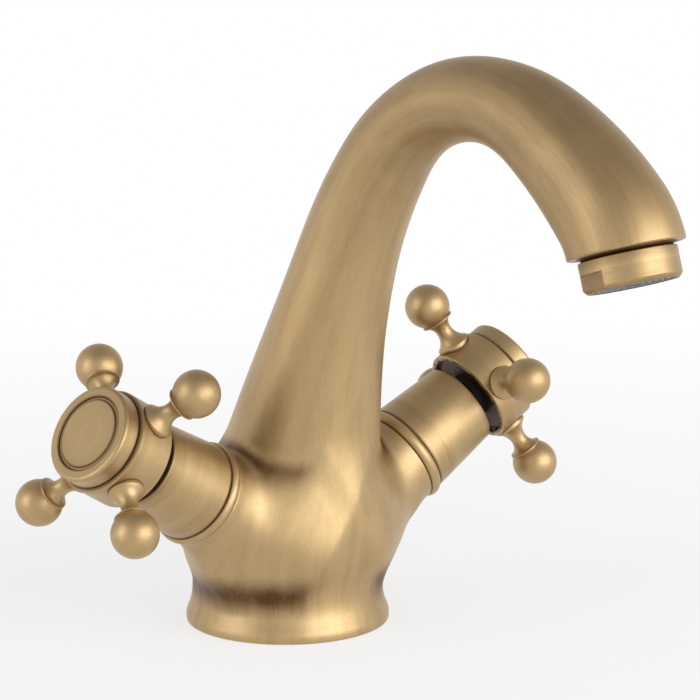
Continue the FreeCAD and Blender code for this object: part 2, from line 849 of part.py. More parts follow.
def make_headwork(valve):
    """The brass valve body: cage, seal groove, thread, flange, hexagon and barrel."""
    body = new_body(valve.name + "_headwork")
    plain = D.chamber_radius - D.fit_gap
    plain_start = WASHER_TOP
    groove_half = D.valve_seal_radius * SEAL_GROOVE_ROOM
    groove_root = VALVE_SEAL_REACH - D.valve_seal_radius
    turned(
        body,
        [
            (CAGE_BORE, D.cage_start_along),
            (D.cage_radius, D.cage_start_along),
            (D.cage_radius, plain_start),
            (plain, plain_start),
            (plain, VALVE_SEAL_CENTRE - groove_half),
            (groove_root, VALVE_SEAL_CENTRE - groove_half),
            (groove_root, VALVE_SEAL_CENTRE + groove_half),
            (plain, VALVE_SEAL_CENTRE + groove_half),
            (plain, THREAD_START),
            (D.valve_thread_radius, THREAD_START),
            (D.valve_thread_radius, RING_TOP),
            (D.headwork_flange_radius, RING_TOP),
            (D.headwork_flange_radius, FLANGE_TOP),
            (D.barrel_radius, FLANGE_TOP),
            (D.barrel_radius, D.headwork_top_along),
            (SPINDLE_BORE, D.headwork_top_along),
            (SPINDLE_BORE, GUIDE_START),
            (CAGE_BORE, GUIDE_START),
        ],
    )
    nut = new_sketch(body, body.Name + "_hexagon", "XY_Plane", FLANGE_TOP)
    draw_outline(nut, hexagon(D.hex_across_flats))
    draw_circle(nut, 0, 0, D.barrel_radius)
    padded(body, nut, D.hex_height)
    window = new_sketch(body, body.Name + "_window", "XZ_Plane")
    half, top = D.window_width / 2, COLLAR_START
    draw_outline(window, [(-half, top - D.window_height), (half, top - D.window_height), (half, top), (-half, top)])
    pocketed(body, window, both_ways=True)
    return body


def port_sector(quarter):
    """Outline of one sector port of a ceramic disc; quarter turns it in steps of 90 degrees."""
    swing = D.disc_port_angle / 2
    inner, outer = D.disc_port_inner_radius, D.disc_port_outer_radius
    corners = [
        (inner * swing.sin(), inner * swing.cos()),
        (outer * swing.sin(), outer * swing.cos(), outer),
        (-(outer * swing.sin()), outer * swing.cos()),
        (-(inner * swing.sin()), inner * swing.cos(), -inner),
    ]
    for _ in range(quarter):
        corners = [(-corner[1], corner[0]) + tuple(corner[2:]) for corner in corners]
    return corners


def make_disc(valve, name, start, thickness, first_quarter):
    """A ceramic disc with two sector ports opposite each other."""
    body = new_body(valve.name + name)
    face = new_sketch(body, body.Name + "_face", "XY_Plane", start)
    draw_circle(face, 0, 0, D.disc_radius)
    draw_outline(face, port_sector(first_quarter))
    draw_outline(face, port_sector(first_quarter + 2))
    padded(body, face, thickness)
    return body


def make_moving_disc(valve):
    """The disc that the spindle turns, with the slot that the spindle's tongue fills."""
    body = make_disc(valve, "_moving_disc", MOVING_DISC_START, D.moving_disc_thickness, 0)
    slot = new_sketch(body, body.Name + "_slot", "XY_Plane", MOVING_DISC_TOP)
    draw_outline(slot, rectangle(D.drive_slot_length, D.drive_slot_width))
    pocketed(body, slot, D.drive_slot_depth)
    return body


def make_seat_seal(valve):
    """The rubber seal between the casting's seat and the fixed disc."""
    body = new_body(valve.name + "_seat_seal")
    turned(
        body,
        [
            (D.seat_seal_inner_radius, D.seat_along),
            (D.disc_radius, D.seat_along),
            (D.disc_radius, SEAL_SEAT),
            (D.seat_seal_inner_radius, SEAL_SEAT),
        ],
    )
    return body


def make_spindle(valve):
    """The brass spindle: tongue and bar that turn the disc, collar, seal grooves and spline."""
    body = new_body(valve.name + "_spindle")
    shaft = D.spindle_radius
    seal_half = D.spindle_seal_radius * SEAL_GROOVE_ROOM
    seal_root = SPINDLE_SEAL_REACH - D.spindle_seal_radius
    outline = [
        (0, COLLAR_START),
        (D.spindle_collar_radius, COLLAR_START),
        (D.spindle_collar_radius, COLLAR_TOP),
        (shaft, COLLAR_TOP),
    ]
    for centre in (D.spindle_seal_lower_along, D.spindle_seal_lower_along + D.spindle_seal_pitch):
        outline += [
            (shaft, centre - seal_half),
            (seal_root, centre - seal_half),
            (seal_root, centre + seal_half),
            (shaft, centre + seal_half),
        ]
    outline += [
        (shaft, CIRCLIP_START),
        (shaft - D.circlip_groove_depth, CIRCLIP_START),
        (shaft - D.circlip_groove_depth, CIRCLIP_TOP),
        (shaft, CIRCLIP_TOP),
        (shaft, D.spline_start_along),
        (D.spline_radius, D.spline_start_along),
        (D.spline_radius, D.spindle_top_along),
        (D.screw_shank_radius, D.spindle_top_along),
        (D.screw_shank_radius, SCREW_END),
        (0, SCREW_END),
    ]
    turned(body, outline)
    bar = new_sketch(body, body.Name + "_bar", "XY_Plane", MOVING_DISC_TOP)
    draw_outline(bar, rectangle(D.foot_bar_length, D.foot_bar_width))
    padded(body, bar, D.foot_bar_height)
    depth = D.drive_slot_depth - D.disc_gap
    tongue = new_sketch(body, body.Name + "_tongue", "XY_Plane", MOVING_DISC_TOP - depth)
    draw_outline(tongue, rectangle(D.drive_slot_length - D.fit_gap * 2, D.drive_slot_width - D.fit_gap * 2))
    padded(body, tongue, depth)
    notch = new_sketch(body, body.Name + "_spline_notch", "XY_Plane", D.spindle_top_along)
    draw_outline(
        notch,
        [
            (D.spline_radius - D.spline_depth, 0),
            (D.spline_radius + D.spline_depth, -D.spline_depth),
            (D.spline_radius + D.spline_depth, D.spline_depth),
        ],
    )
    cut = pocketed(body, notch, D.spindle_top_along - D.spline_start_along)
    repeated(body, cut, D.spline_teeth)
    return body


def seal_ring(valve, name, centre, reach, radius):
    """One rubber ring of round section on the valve axis."""
    place = looking_along(valve.point(centre), valve.axis, valve.upright)
    return primitive("Torus", name, place, Radius1=reach, Radius2=radius)


def make_spindle_seals(valve):
    """The spindle's two rubber rings, kept together as one group."""
    group = doc.addObject("Part::Compound", valve.name + "_spindle_seals")
    rings = []
    for number, centre in enumerate((D.spindle_seal_lower_along, D.spindle_seal_lower_along + D.spindle_seal_pitch)):
        name = "%s_spindle_seal_%d" % (valve.name, number + 1)
        rings.append(seal_ring(valve, name, centre, SPINDLE_SEAL_REACH, D.spindle_seal_radius))
    group.Links = rings
    return group


def plain_ring(valve, name, inner, outer, start, end):
    """A flat washer or bush between two places along the axis."""
    body = new_body(valve.name + name)
    turned(body, [(inner, start), (outer, start), (outer, end), (inner, end)])
    return body


def make_circlip(valve):
    """The open spring ring that keeps the spindle in the headwork."""
    inner = D.spindle_radius - D.circlip_groove_depth
    body = plain_ring(valve, "_circlip", inner, D.circlip_radius, CIRCLIP_START, CIRCLIP_TOP)
    body.Tip.setExpression("Angle", "360 - " + text_of(D.circlip_opening))
    return body


# ----------------------------------------------------------------------------- cross handle
def make_hub(valve):
    """The handle's hub, with a recess at its back and four holes for the spokes' tenons."""
    body = new_body(valve.name + "_handle_hub")
    rim = D.hub_radius - D.hub_back_rim
    recess = D.hub_back_along + D.hub_back_recess
    screw_hole = D.screw_shank_radius + D.fit_gap * 2
    turned(
        body,
        [
            (D.bush_radius, recess),
            (rim, recess),
            (rim, D.hub_back_along),
            (D.hub_radius, D.hub_back_along),
            (D.hub_radius, D.hub_front_along - D.hub_chamfer),
            (D.hub_radius - D.hub_chamfer, D.hub_front_along),
            (D.cap_plug_radius, D.hub_front_along),
            (D.cap_plug_radius, WEB_FRONT),
            (screw_hole, WEB_FRONT),
            (screw_hole, D.hub_web_back_along),
            (D.bush_radius, D.hub_web_back_along),
        ],
    )
    hole = new_sketch(body, body.Name + "_tenon_hole", "YZ_Plane", D.hub_radius - D.spoke_tenon_length)
    draw_circle(hole, 0, D.spoke_plane_along, D.spoke_tenon_radius)
    repeated(body, pocketed(body, hole, along_normal=True), D.spoke_count)
    return body


def spoke_outline():
    """Half the outline of a turned spoke, from its foot on the hub to the top of its ball."""
    foot_edge = D.hub_radius + D.spoke_foot_edge
    flare_in = D.spoke_foot_radius - D.spoke_waist_radius
    flare_up = D.spoke_waist_reach - foot_edge
    flare = (flare_in * flare_in + flare_up * flare_up) / (flare_in * 2)
    fin_start = D.fin_reach - D.fin_width / 2
    fin_end = D.fin_reach + D.fin_width / 2
    ball_drop = D.ball_centre_reach - fin_end
    ball_meets = (D.ball_radius * D.ball_radius - ball_drop * ball_drop).root()
    swell_out = ball_meets - D.spoke_waist_radius - D.fin_width / 2
    swell_up = fin_start - D.spoke_waist_reach
    swell = (swell_out * swell_out + swell_up * swell_up) / (swell_out * 2)
    edge = D.fin_width / 6
    return [
        (0, D.hub_radius - D.spoke_foot_edge * 2),
        (D.spoke_foot_radius, D.hub_radius - D.spoke_foot_edge * 2),
        (D.spoke_foot_radius, foot_edge, -flare),
        (D.spoke_waist_radius, D.spoke_waist_reach, -swell),
        (ball_meets - D.fin_width / 2, fin_start),
        (D.fin_radius, D.fin_reach - edge),
        (D.fin_radius, D.fin_reach + edge),
        (ball_meets, fin_end, D.ball_radius),
        (0, D.ball_centre_reach + D.ball_radius),
    ]


def make_spoke(valve, number):
    """One turned spoke with its ball; its foot is hollowed to sit on the round hub."""
    body = new_body("%s_spoke_%d" % (valve.name, number + 1))
    turned(body, spoke_outline())
    saddle = draw_circle(new_sketch(body, body.Name + "_saddle", "YZ_Plane"), 0, 0, D.hub_radius)
    pocketed(body, saddle, both_ways=True)
    root = D.hub_radius - D.spoke_tenon_length
    turned(
        body,
        [
            (0, root),
            (D.spoke_tenon_radius, root),
            (D.spoke_tenon_radius, D.hub_radius + D.spoke_foot_edge / 2),
            (0, D.hub_radius + D.spoke_foot_edge / 2),
        ],
        "tenon",
    )
    turn = valve.handle_angle + 360.0 / float(D.spoke_count) * number
    place = valve.placement(turn)
    sideways = FreeCAD.Rotation(Vector(0, 1, 0), 90)
    lifted = FreeCAD.Placement(Vector(0, 0, float(D.spoke_plane_along)), sideways)
    body.Placement = place.multiply(lifted)
    return body


def make_screw(valve):
    """The socket-head screw that holds the hub on the spindle."""
    body = new_body(valve.name + "_handle_screw")
    top = WEB_FRONT + D.screw_head_height
    crown = D.screw_head_height / 4
    turned(
        body,
        [
            (0, SCREW_END),
            (D.screw_shank_radius, SCREW_END),
            (D.screw_shank_radius, WEB_FRONT),
            (D.screw_head_radius, WEB_FRONT),
            (D.screw_head_radius, top - crown, crown),
            (D.screw_head_radius - crown, top),
            (0, top),
        ],
    )
    socket = new_sketch(body, body.Name + "_socket", "XY_Plane", top)
    draw_outline(socket, hexagon(D.screw_socket_across_flats))
    pocketed(body, socket, D.screw_socket_depth)
    return body


def make_cap(valve):
    """The cap on the front of the hub, with a plug that goes into it and a recess for the disc."""
    body = new_body(valve.name + "_handle_cap")
    plug_inner = D.cap_plug_radius - D.cap_plug_wall
    floor = D.cap_front_along - D.disc_recess_depth
    turned(
        body,
        [
            (plug_inner, D.hub_front_along - D.cap_plug_length),
            (D.cap_plug_radius, D.hub_front_along - D.cap_plug_length),
            (D.cap_plug_radius, D.hub_front_along),
            (D.cap_radius, D.hub_front_along),
            (D.cap_radius, D.cap_front_along - D.cap_edge_round, D.cap_edge_round),
            (D.cap_radius - D.cap_edge_round, D.cap_front_along),
            (D.disc_recess_radius, D.cap_front_along),
            (D.disc_recess_radius, floor),
            (0, floor),
            (0, floor - D.cap_web),
            (plug_inner, floor - D.cap_web),
        ],
    )
    return body


def make_index_disc(valve):
    """The bare disc set flush in the cap."""
    body = new_body(valve.name + "_index_disc")
    floor = D.cap_front_along - D.disc_recess_depth
    turned(
        body,
        [
            (0, floor),
            (D.index_disc_radius, floor),
            (D.index_disc_radius, D.cap_front_along),
            (0, D.cap_front_along),
        ],
    )
    return body


def make_valve(valve):
    """Every piece of one valve and its handle, in place."""
    fixed = [
        make_collar_ring(valve),
        make_sleeve(valve),
        make_headwork(valve),
        make_seat_seal(valve),
        make_disc(valve, "_fixed_disc", SEAL_SEAT, D.fixed_disc_thickness, 1),
    ]
    moving = [
        make_moving_disc(valve),
        make_spindle(valve),
        plain_ring(
            valve, "_thrust_washer", D.spindle_radius, D.spindle_collar_radius, COLLAR_TOP, WASHER_TOP
        ),
        make_circlip(valve),
        plain_ring(
            valve, "_spline_bush", D.spline_radius, D.bush_radius, D.bush_back_along, D.hub_web_back_along
        ),
        make_screw(valve),
        make_cap(valve),
        make_index_disc(valve),
    ]
    for piece in fixed + moving:
        piece.Placement = valve.placement()
    hub = make_hub(valve)
    hub.Placement = valve.placement(valve.handle_angle)
    spokes = [make_spoke(valve, number) for number in range(int(float(D.spoke_count)))]
    seal = seal_ring(valve, valve.name + "_valve_seal", VALVE_SEAL_CENTRE, VALVE_SEAL_REACH, D.valve_seal_radius)
    return fixed + moving + [hub, seal, make_spindle_seals(valve)] + spokes


# ----------------------------------------------------------------------------- build and export
PIECES = [make_casting(), make_base_seal()] + make_aerator() + make_valve(HOT) + make_valve(COLD)
doc.recompute()

for item in doc.Objects:
    if "Invalid" in item.State or "Error" in item.State:
        raise ValueError("%s did not build: %s" % (item.Name, item.State))

for piece in PIECES:
    if piece.Shape.isNull() or not piece.Shape.isValid():
        raise ValueError("%s has no valid shape" % piece.Label)

os.makedirs("parts", exist_ok=True)
for piece in PIECES:
    piece.Shape.exportStep(os.path.join("parts", piece.Label + ".step"))
    solids = len(piece.Shape.Solids)
    print("%-24s %d solid(s) %10.1f mm3" % (piece.Label, solids, piece.Shape.Volume))
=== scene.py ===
"""Antique brass basin mixer with two cross handles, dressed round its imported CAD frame.

The sizes in the classes are millimetres in the row frame: the origin is the centre of the foot's
underside, +Z is up and the spout reaches towards -Y. Meshes are written in metres.
"""

import logging
import math
from dataclasses import dataclass
from enum import Enum
from typing import Any

import bmesh
import bpy
import numpy as np
from mathutils import Matrix


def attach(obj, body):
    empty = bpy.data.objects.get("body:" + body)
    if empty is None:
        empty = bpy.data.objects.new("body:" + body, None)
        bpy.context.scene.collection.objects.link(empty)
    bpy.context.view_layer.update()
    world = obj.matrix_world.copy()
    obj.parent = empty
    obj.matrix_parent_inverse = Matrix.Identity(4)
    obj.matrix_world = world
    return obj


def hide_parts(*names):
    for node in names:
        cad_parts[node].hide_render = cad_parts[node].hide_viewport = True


Array = np.ndarray
Pair = tuple[float, float]
Triple = tuple[float, float, float]
# Radius, place along the axis, round of the corner, and patina_and_shade: brown left by rubbing and
# painted shade.
Corner = tuple[float, float, float, float]

MM = 0.001
FULL_TURN = 2 * math.pi
FINE_COLUMNS = 160
PLAIN_COLUMNS = 128
TINY = 1e-6
# The noise's mean, about which it makes a tone lighter or darker.
MEAN = 0.5
# How much slower the grain's place changes along the brushing than across it.
ROUND_GRAIN = 0.08
SPOUT_GRAIN = 0.045
LOG = logging.getLogger("mixer")


# Geometry helpers
def unit(vector: Any) -> Array:
    """The vector with length 1."""
    v = np.asarray(vector, float)
    return v / np.linalg.norm(v)


def smoothstep(value: Array) -> Array:
    """Rises from 0 to 1 with level ends, as 3x^2 - 2x^3."""
    x = np.clip(value, 0, 1)
    return x * x * (3 - 2 * x)


def rise(value: Array, start: float, run: float) -> Array:
    """Rises from 0 to 1 with level ends, from the start over the run."""
    return smoothstep((value - start) / run)


@dataclass(frozen=True)
class Place:
    """Axes of a turned piece: along its axis, upright from it, and across both."""

    origin: Array
    axis: Array
    upright: Array

    @property
    def across(self) -> Array:
        """The third direction, which makes the axes right-handed."""
        return np.cross(self.axis, self.upright)

    def points(self, along: Any, up: Any = 0.0, over: Any = 0.0) -> Array:
        """Points in the row frame for coordinates in these axes.

        Args:
            along: Distances along the axis.
            up: Distances along the upright.
            over: Distances along the third direction.

        Returns:
            An array with three numbers for each point.
        """
        along, up, over = np.broadcast_arrays(along, up, over)
        moved = along[..., None] * self.axis + up[..., None] * self.upright
        return self.origin + moved + over[..., None] * self.across

    def local(self, points: Array) -> tuple[Array, Array, Array]:
        """Coordinates along, upright and across of points in the row frame."""
        offset = points - self.origin
        return offset @ self.axis, offset @ self.upright, offset @ self.across

    def turned(self, degrees: float) -> "Place":
        """The same axes turned about the axis.

        Args:
            degrees: The angle, from the upright towards the third direction.

        Returns:
            The turned axes.
        """
        angle = math.radians(degrees)
        upright = self.upright * math.cos(angle) + self.across * math.sin(angle)
        return Place(self.origin, self.axis, upright)


@dataclass
class Skin:
    """A closed surface with its two painted layers.

    Points are in millimetres. Grain is where the brushing is sampled, and patina_and_shade is how
    brown the surface is, from 0 to 1: the brown left by the rubbing, and painted shade in seams,
    recesses and round the waist.
    """

    points: Array
    faces: list[Array]
    grain: Array
    patina_and_shade: Array

    def outward(self) -> None:
        """Turns the faces round where they point inwards.

        The signed volume is the sum over the faces' triangles of the corners' triple product.
        """
        total = 0.0
        for block in self.faces:
            a = self.points[block[:, 0]]
            for k in range(1, block.shape[1] - 1):
                b, c = self.points[block[:, k]], self.points[block[:, k + 1]]
                total += float(np.einsum("ij,ij->", a, np.cross(b, c)))
        if total < 0:
            self.faces = [block[:, ::-1] for block in self.faces]

    def to_object(self, name: str) -> bpy.types.Object:
        """Puts the surface into a mesh object in metres.

        Args:
            name: Name of the object and its mesh.

        Returns:
            The object, which sits at the origin with its place in its mesh.
        """
        self.outward()
        mesh = bpy.data.meshes.new(name)
        corners = np.concatenate([block.ravel() for block in self.faces]).astype(np.int32)
        counts = np.concatenate([np.full(len(b), b.shape[1]) for b in self.faces])
        starts = np.concatenate([[0], np.cumsum(counts)[:-1]]).astype(np.int32)
        mesh.vertices.add(len(self.points))
        mesh.vertices.foreach_set("co", (self.points * MM).astype(np.float32).ravel())
        mesh.loops.add(len(corners))
        mesh.loops.foreach_set("vertex_index", corners)
        mesh.polygons.add(len(starts))
        mesh.polygons.foreach_set("loop_start", starts)
        mesh.polygons.foreach_set("use_smooth", np.ones(len(starts), bool))
        mesh.update(calc_edges=True)
        grain = mesh.attributes.new("grain", "FLOAT_VECTOR", "POINT")
        grain.data.foreach_set("vector", self.grain.astype(np.float32).ravel())
        # This layer holds the brown left by rubbing and the painted shade in seams, recesses and
        # round the waist.
        patina_and_shade = mesh.attributes.new("patina_and_shade", "FLOAT", "POINT")
        patina_and_shade.data.foreach_set("value", self.patina_and_shade.astype(np.float32))
        made = bpy.data.objects.new(name, mesh)
        bpy.context.scene.collection.objects.link(made)
        return made


def rounded(corners: list[Corner], closed: bool, steps: int = 5) -> Array:
    """Makes a profile from its corners.

    Each rounded corner becomes an arc tangent to both its sides. A guard point a little way
    beyond each end of the arc keeps the flats on both sides flat in shading.

    Args:
        corners: Corners in order.
        closed: Whether the last corner joins the first.
        steps: Faces over each round.

    Returns:
        Rows of radius, along, and patina_and_shade: brown and painted shade.
    """
    guard_length, guard_share = 0.12, 0.49
    spots = np.array([corner[:2] for corner in corners], float)
    count = len(corners)
    rows: list[list[float]] = []
    for i, (radius, along, bend, patina_and_shade) in enumerate(corners):
        if bend <= 0 or (not closed and i in (0, count - 1)):
            rows.append([radius, along, patina_and_shade])
            continue
        back = spots[i - 1] - spots[i]
        ahead = spots[(i + 1) % count] - spots[i]
        room = min(np.linalg.norm(back), np.linalg.norm(ahead))
        back, ahead = unit(back), unit(ahead)
        half = math.acos(float(np.clip(back @ ahead, -1, 1))) / 2
        reach = bend / math.tan(half)
        centre = spots[i] + unit(back + ahead) * bend / math.sin(half)
        a, b = spots[i] + back * reach - centre, spots[i] + ahead * reach - centre
        guard = min(reach + guard_length, room * guard_share)
        rows.append([*(spots[i] + back * guard), patina_and_shade])
        sweep = math.acos(float(np.clip(unit(a) @ unit(b), -1, 1)))
        for k in range(steps + 1):
            t = k / steps
            arm = (a * math.sin((1 - t) * sweep) + b * math.sin(t * sweep)) / math.sin(sweep)
            rows.append([*(centre + arm), patina_and_shade])
        rows.append([*(spots[i] + ahead * guard), patina_and_shade])
    return np.array(rows)


def arc(centre: Pair, radius: float, start: float, end: float, steps: int) -> list[Corner]:
    """Corners along a circle's arc in the plane of a profile.

    Args:
        centre: The arc's centre as radius and along.
        radius: The arc's radius.
        start: First angle in degrees, from the direction of growing radius.
        end: Last angle in degrees.
        steps: Number of faces.

    Returns:
        Sharp corners without patina_and_shade, both ends included.
    """
    angles = np.radians(np.linspace(start, end, steps + 1))
    spots = zip(centre[0] + radius * np.cos(angles), centre[1] + radius * np.sin(angles))
    return [(float(r), float(s), 0.0, 0.0) for r, s in spots]


def arc_radius(sideways: float, onward: float) -> float:
    """Radius of the arc that leaves a line and is this far sideways this far onward."""
    return (sideways**2 + onward**2) / (2 * sideways)


def ring_faces(rows: int, columns: int, closed: bool) -> Array:
    """Faces between neighbouring rows of a grid that wraps round its columns.

    Args:
        rows: Number of rows.
        columns: Points in a row.
        closed: Whether the last row joins the first.

    Returns:
        Four vertex numbers for each face.
    """
    i = np.arange(rows if closed else rows - 1)[:, None]
    j = np.arange(columns)[None, :]
    after, beside = (i + 1) % rows, (j + 1) % columns
    corners = [i * columns + j, i * columns + beside, after * columns + beside, after * columns + j]
    return np.stack([np.broadcast_to(c, (len(i), columns)) for c in corners], -1).reshape(-1, 4)


def turned_skin(
    place: Place, radius: Array, along: Array, patina_and_shade: Array, closed: bool, columns: int
) -> Skin:
    """A surface of two parameters: the place along a profile and the angle round the axis.

    A point is the profile's distance along the axis, plus its radius times the cosine of the
    angle upright and the sine across. Rows of radius 0 at the ends become single poles.

    Args:
        place: Axes of the piece.
        radius: Radius for each row, or for each row and column.
        along: Distance along the axis for each row, or for each row and column.
        patina_and_shade: Brown left by rubbing and painted shade, for each row.
        closed: Whether the profile is a loop, as in a ring.
        columns: Points round the axis.

    Returns:
        The surface.
    """
    turn = np.linspace(0, FULL_TURN, columns, endpoint=False)
    rows = len(patina_and_shade)
    radius = np.broadcast_to(radius.reshape(rows, -1), (rows, columns))
    along = np.broadcast_to(along.reshape(rows, -1), (rows, columns))
    up, over = radius * np.cos(turn), radius * np.sin(turn)
    points = place.points(along, up, over)
    steps = np.hypot(np.diff(radius[:, 0]), np.diff(along[:, 0]))
    length = np.broadcast_to(np.concatenate([[0], np.cumsum(steps)])[:, None], (rows, columns))
    grain = np.stack([length, up * ROUND_GRAIN, over * ROUND_GRAIN], -1)
    patina_and_shade = np.broadcast_to(patina_and_shade[:, None], (rows, columns))
    if closed:
        faces = [ring_faces(rows, columns, True)]
        return Skin(points.reshape(-1, 3), faces, grain.reshape(-1, 3), patina_and_shade.ravel())
    body = slice(1, rows - 1)
    inner = rows - 2
    j = np.arange(columns)
    beside = (j + 1) % columns
    low, high, last = inner * columns, inner * columns + 1, (inner - 1) * columns
    first_fan = np.stack([np.full(columns, low), beside, j], -1)
    last_fan = np.stack([np.full(columns, high), last + j, last + beside], -1)
    return Skin(
        np.concatenate([points[body].reshape(-1, 3), points[[0, -1], 0]]),
        [ring_faces(inner, columns, False), first_fan, last_fan],
        np.concatenate([grain[body].reshape(-1, 3), grain[[0, -1], 0]]),
        np.concatenate([patina_and_shade[body].ravel(), patina_and_shade[[0, -1], 0]]),
    )


def lathe(
    place: Place, corners: list[Corner], closed: bool, columns: int = FINE_COLUMNS, steps: int = 5
) -> Skin:
    """Turns a profile of corners about the axis of a place.

    Args:
        place: Axes of the piece.
        corners: The profile's corners.
        closed: Whether the profile is a loop, as in a ring.
        columns: Points round the axis.
        steps: Faces over each round.

    Returns:
        The surface.
    """
    profile = rounded(corners, closed, steps)
    return turned_skin(place, profile[:, 0], profile[:, 1], profile[:, 2], closed, columns)


# Shader maths
class Wire:
    """A node's output socket on which Python's operators add Math nodes."""

    def __init__(self, graph: "Graph", socket: bpy.types.NodeSocket) -> None:
        """Keeps the graph and the socket."""
        self.graph = graph
        self.socket = socket

    def _math(self, operation: str, *values: Any) -> "Wire":
        """One Math node."""
        return self.graph.node("ShaderNodeMath", {"operation": operation}, dict(enumerate(values)))

    def __add__(self, other: Any) -> "Wire":
        """Sum."""
        return self._math("ADD", self, other)

    __radd__ = __add__

    def __mul__(self, other: Any) -> "Wire":
        """Product."""
        return self._math("MULTIPLY", self, other)

    __rmul__ = __mul__

    def __sub__(self, other: Any) -> "Wire":
        """Difference."""
        return self._math("SUBTRACT", self, other)

    def __rsub__(self, other: Any) -> "Wire":
        """Difference with the wire second."""
        return self._math("SUBTRACT", other, self)

    def __truediv__(self, other: Any) -> "Wire":
        """Quotient."""
        return self._math("DIVIDE", self, other)

    def clamped(self) -> "Wire":
        """The value kept from 0 to 1."""
        return self._math("MINIMUM", self._math("MAXIMUM", self, 0.0), 1.0)


class Graph:
    """The nodes of one material or world."""

    def __init__(self, owner: Any) -> None:
        """Starts with an empty tree.

        Args:
            owner: The material or world.
        """
        owner.use_nodes = True
        self.tree = owner.node_tree
        self.tree.nodes.clear()

    def node(
        self, kind: str, settings: dict[str, Any], inputs: dict[Any, Any], output: Any = 0
    ) -> Wire:
        """Adds a node.

        Args:
            kind: The node's type.
            settings: Properties, set first.
            inputs: Values or wires by socket name or number.
            output: Name or number of the output to hand back.

        Returns:
            The wire from that output.
        """
        made = self.tree.nodes.new(kind)
        for name, value in settings.items():
            setattr(made, name, value)
        for name, value in inputs.items():
            if isinstance(value, Wire):
                self.tree.links.new(value.socket, made.inputs[name])
            else:
                made.inputs[name].default_value = value
        return Wire(self, made.outputs[output] if made.outputs else None)

    def layer(self, name: str, output: str) -> Wire:
        """A painted layer of the surface."""
        return self.node("ShaderNodeAttribute", {"attribute_name": name}, {}, output)

    def place(self, kind: str = "Object") -> Wire:
        """The place in one kind of coordinates."""
        return self.node("ShaderNodeTexCoord", {}, {}, kind)

    def noise(self, vector: Wire, scale: float, detail: float = 2.0, rough: float = 0.5) -> Wire:
        """Soft noise from 0 to 1 on a vector."""
        values = {"Vector": vector, "Scale": scale, "Detail": detail, "Roughness": rough}
        return self.node("ShaderNodeTexNoise", {"noise_dimensions": "3D"}, values, "Fac")

    def mix(self, share: Wire, first: Any, second: Any) -> Wire:
        """Colour mix of two colours or wires."""
        settings = {"data_type": "RGBA", "clamp_factor": True}
        return self.node("ShaderNodeMix", settings, {0: share, 6: first, 7: second}, 2)

    def relief(self, height: Wire, strength: float) -> Wire:
        """The normal of a fine relief."""
        inputs = {"Strength": strength, "Distance": 0.0002, "Height": height}
        return self.node("ShaderNodeBump", {}, inputs)

    def coat(self, sockets: dict[str, Any]) -> None:
        """Ends a material in one shader with these sockets."""
        self.end(self.node("ShaderNodeBsdfPrincipled", {}, sockets))

    def end(self, surface: Wire, kind: str = "Material") -> None:
        """Ends the graph in its output."""
        self.node(f"ShaderNodeOutput{kind}", {}, {"Surface": surface})


def colour(red: float, green: float, blue: float) -> tuple[float, float, float, float]:
    """A linear colour from its sRGB values.

    Args:
        red: Red from 0 to 255.
        green: Green from 0 to 255.
        blue: Blue from 0 to 255.

    Returns:
        Red, green, blue and an alpha of 1.
    """
    parts = [v / 255 for v in (red, green, blue)]
    linear = [v / 12.92 if v <= 0.04045 else ((v + 0.055) / 1.055) ** 2.4 for v in parts]
    return (*linear, 1.0)


@dataclass(frozen=True)
class AntiqueBrass:
    """Brass browned, then brushed along its grain and lacquered.

    The rubbing leaves the brown in hollows and seams, and the same brown is also painted as shade
    in seams, recesses and round the waist; the patina_and_shade layer holds both. Lines, the finer
    hairs and the broad bands follow the grain layer, and clouds follow the place.
    """

    name: str = "antique_brass_brushed"
    rubbed: Triple = (184, 157, 113)
    # The brown of rubbing, which is also the painted shade where the layer marks shade.
    brown: Triple = (94, 61, 27)
    brown_left: float = 0.06
    line_scale: float = 2.2
    hair_ratio: float = 3.1
    band_ratio: float = 0.12
    cloud_scale: float = 34.0
    blotch_scale: float = 120.0
    line_share: float = 0.26
    hair_share: float = 0.156
    band_share: float = 0.5
    cloud_share: float = 0.32
    blotch_share: float = 0.35
    roughness: float = 0.48
    line_roughness: float = 0.14
    patina_and_shade_roughness: float = 0.10
    cloud_roughness: float = 0.06
    depth: float = 0.22
    line_height: float = 0.6
    hair_height: float = 0.4
    coat: float = 0.3
    coat_roughness: float = 0.28

    def material(self) -> bpy.types.Material:
        """Builds the material.

        The tone from rubbed to brown is the patina_and_shade layer, brown left by rubbing and
        painted shade, blotched where it is neither full nor none, plus each noise's share of its
        distance from the mean.

        Returns:
            The material.
        """
        made = bpy.data.materials.new(self.name)
        g = Graph(made)
        # left is the layer of brown left by rubbing and painted shade.
        grain, left, place = g.layer("grain", "Vector"), g.layer("patina_and_shade", "Fac"), g.place()
        lines = g.noise(grain, self.line_scale, 3.0, 0.65)
        hairs = g.noise(grain, self.line_scale * self.hair_ratio, 2.0, 0.6)
        bands = g.noise(grain, self.line_scale * self.band_ratio)
        cloud = g.noise(place, self.cloud_scale, 3.0, 0.55)
        blotch = g.noise(place, self.blotch_scale)
        tone = (left + (blotch - MEAN) * self.blotch_share * left * (1 - left) * 4).clamped()
        tone = tone + (cloud - MEAN) * self.cloud_share + (lines - MEAN) * self.line_share
        tone = tone + (bands - MEAN) * self.band_share
        tone = (tone + (hairs - MEAN) * self.hair_share + self.brown_left).clamped()
        rough = self.roughness + (lines - MEAN) * self.line_roughness
        rough = rough + left * self.patina_and_shade_roughness + (cloud - MEAN) * self.cloud_roughness
        height = lines * self.line_height + hairs * self.hair_height
        g.coat(
            {
                "Base Color": g.mix(tone, colour(*self.rubbed), colour(*self.brown)),
                "Metallic": 1.0,
                "Roughness": rough.clamped(),
                "Normal": g.relief(height, self.depth),
                "Coat Weight": self.coat,
                "Coat Roughness": self.coat_roughness,
            }
        )
        return made


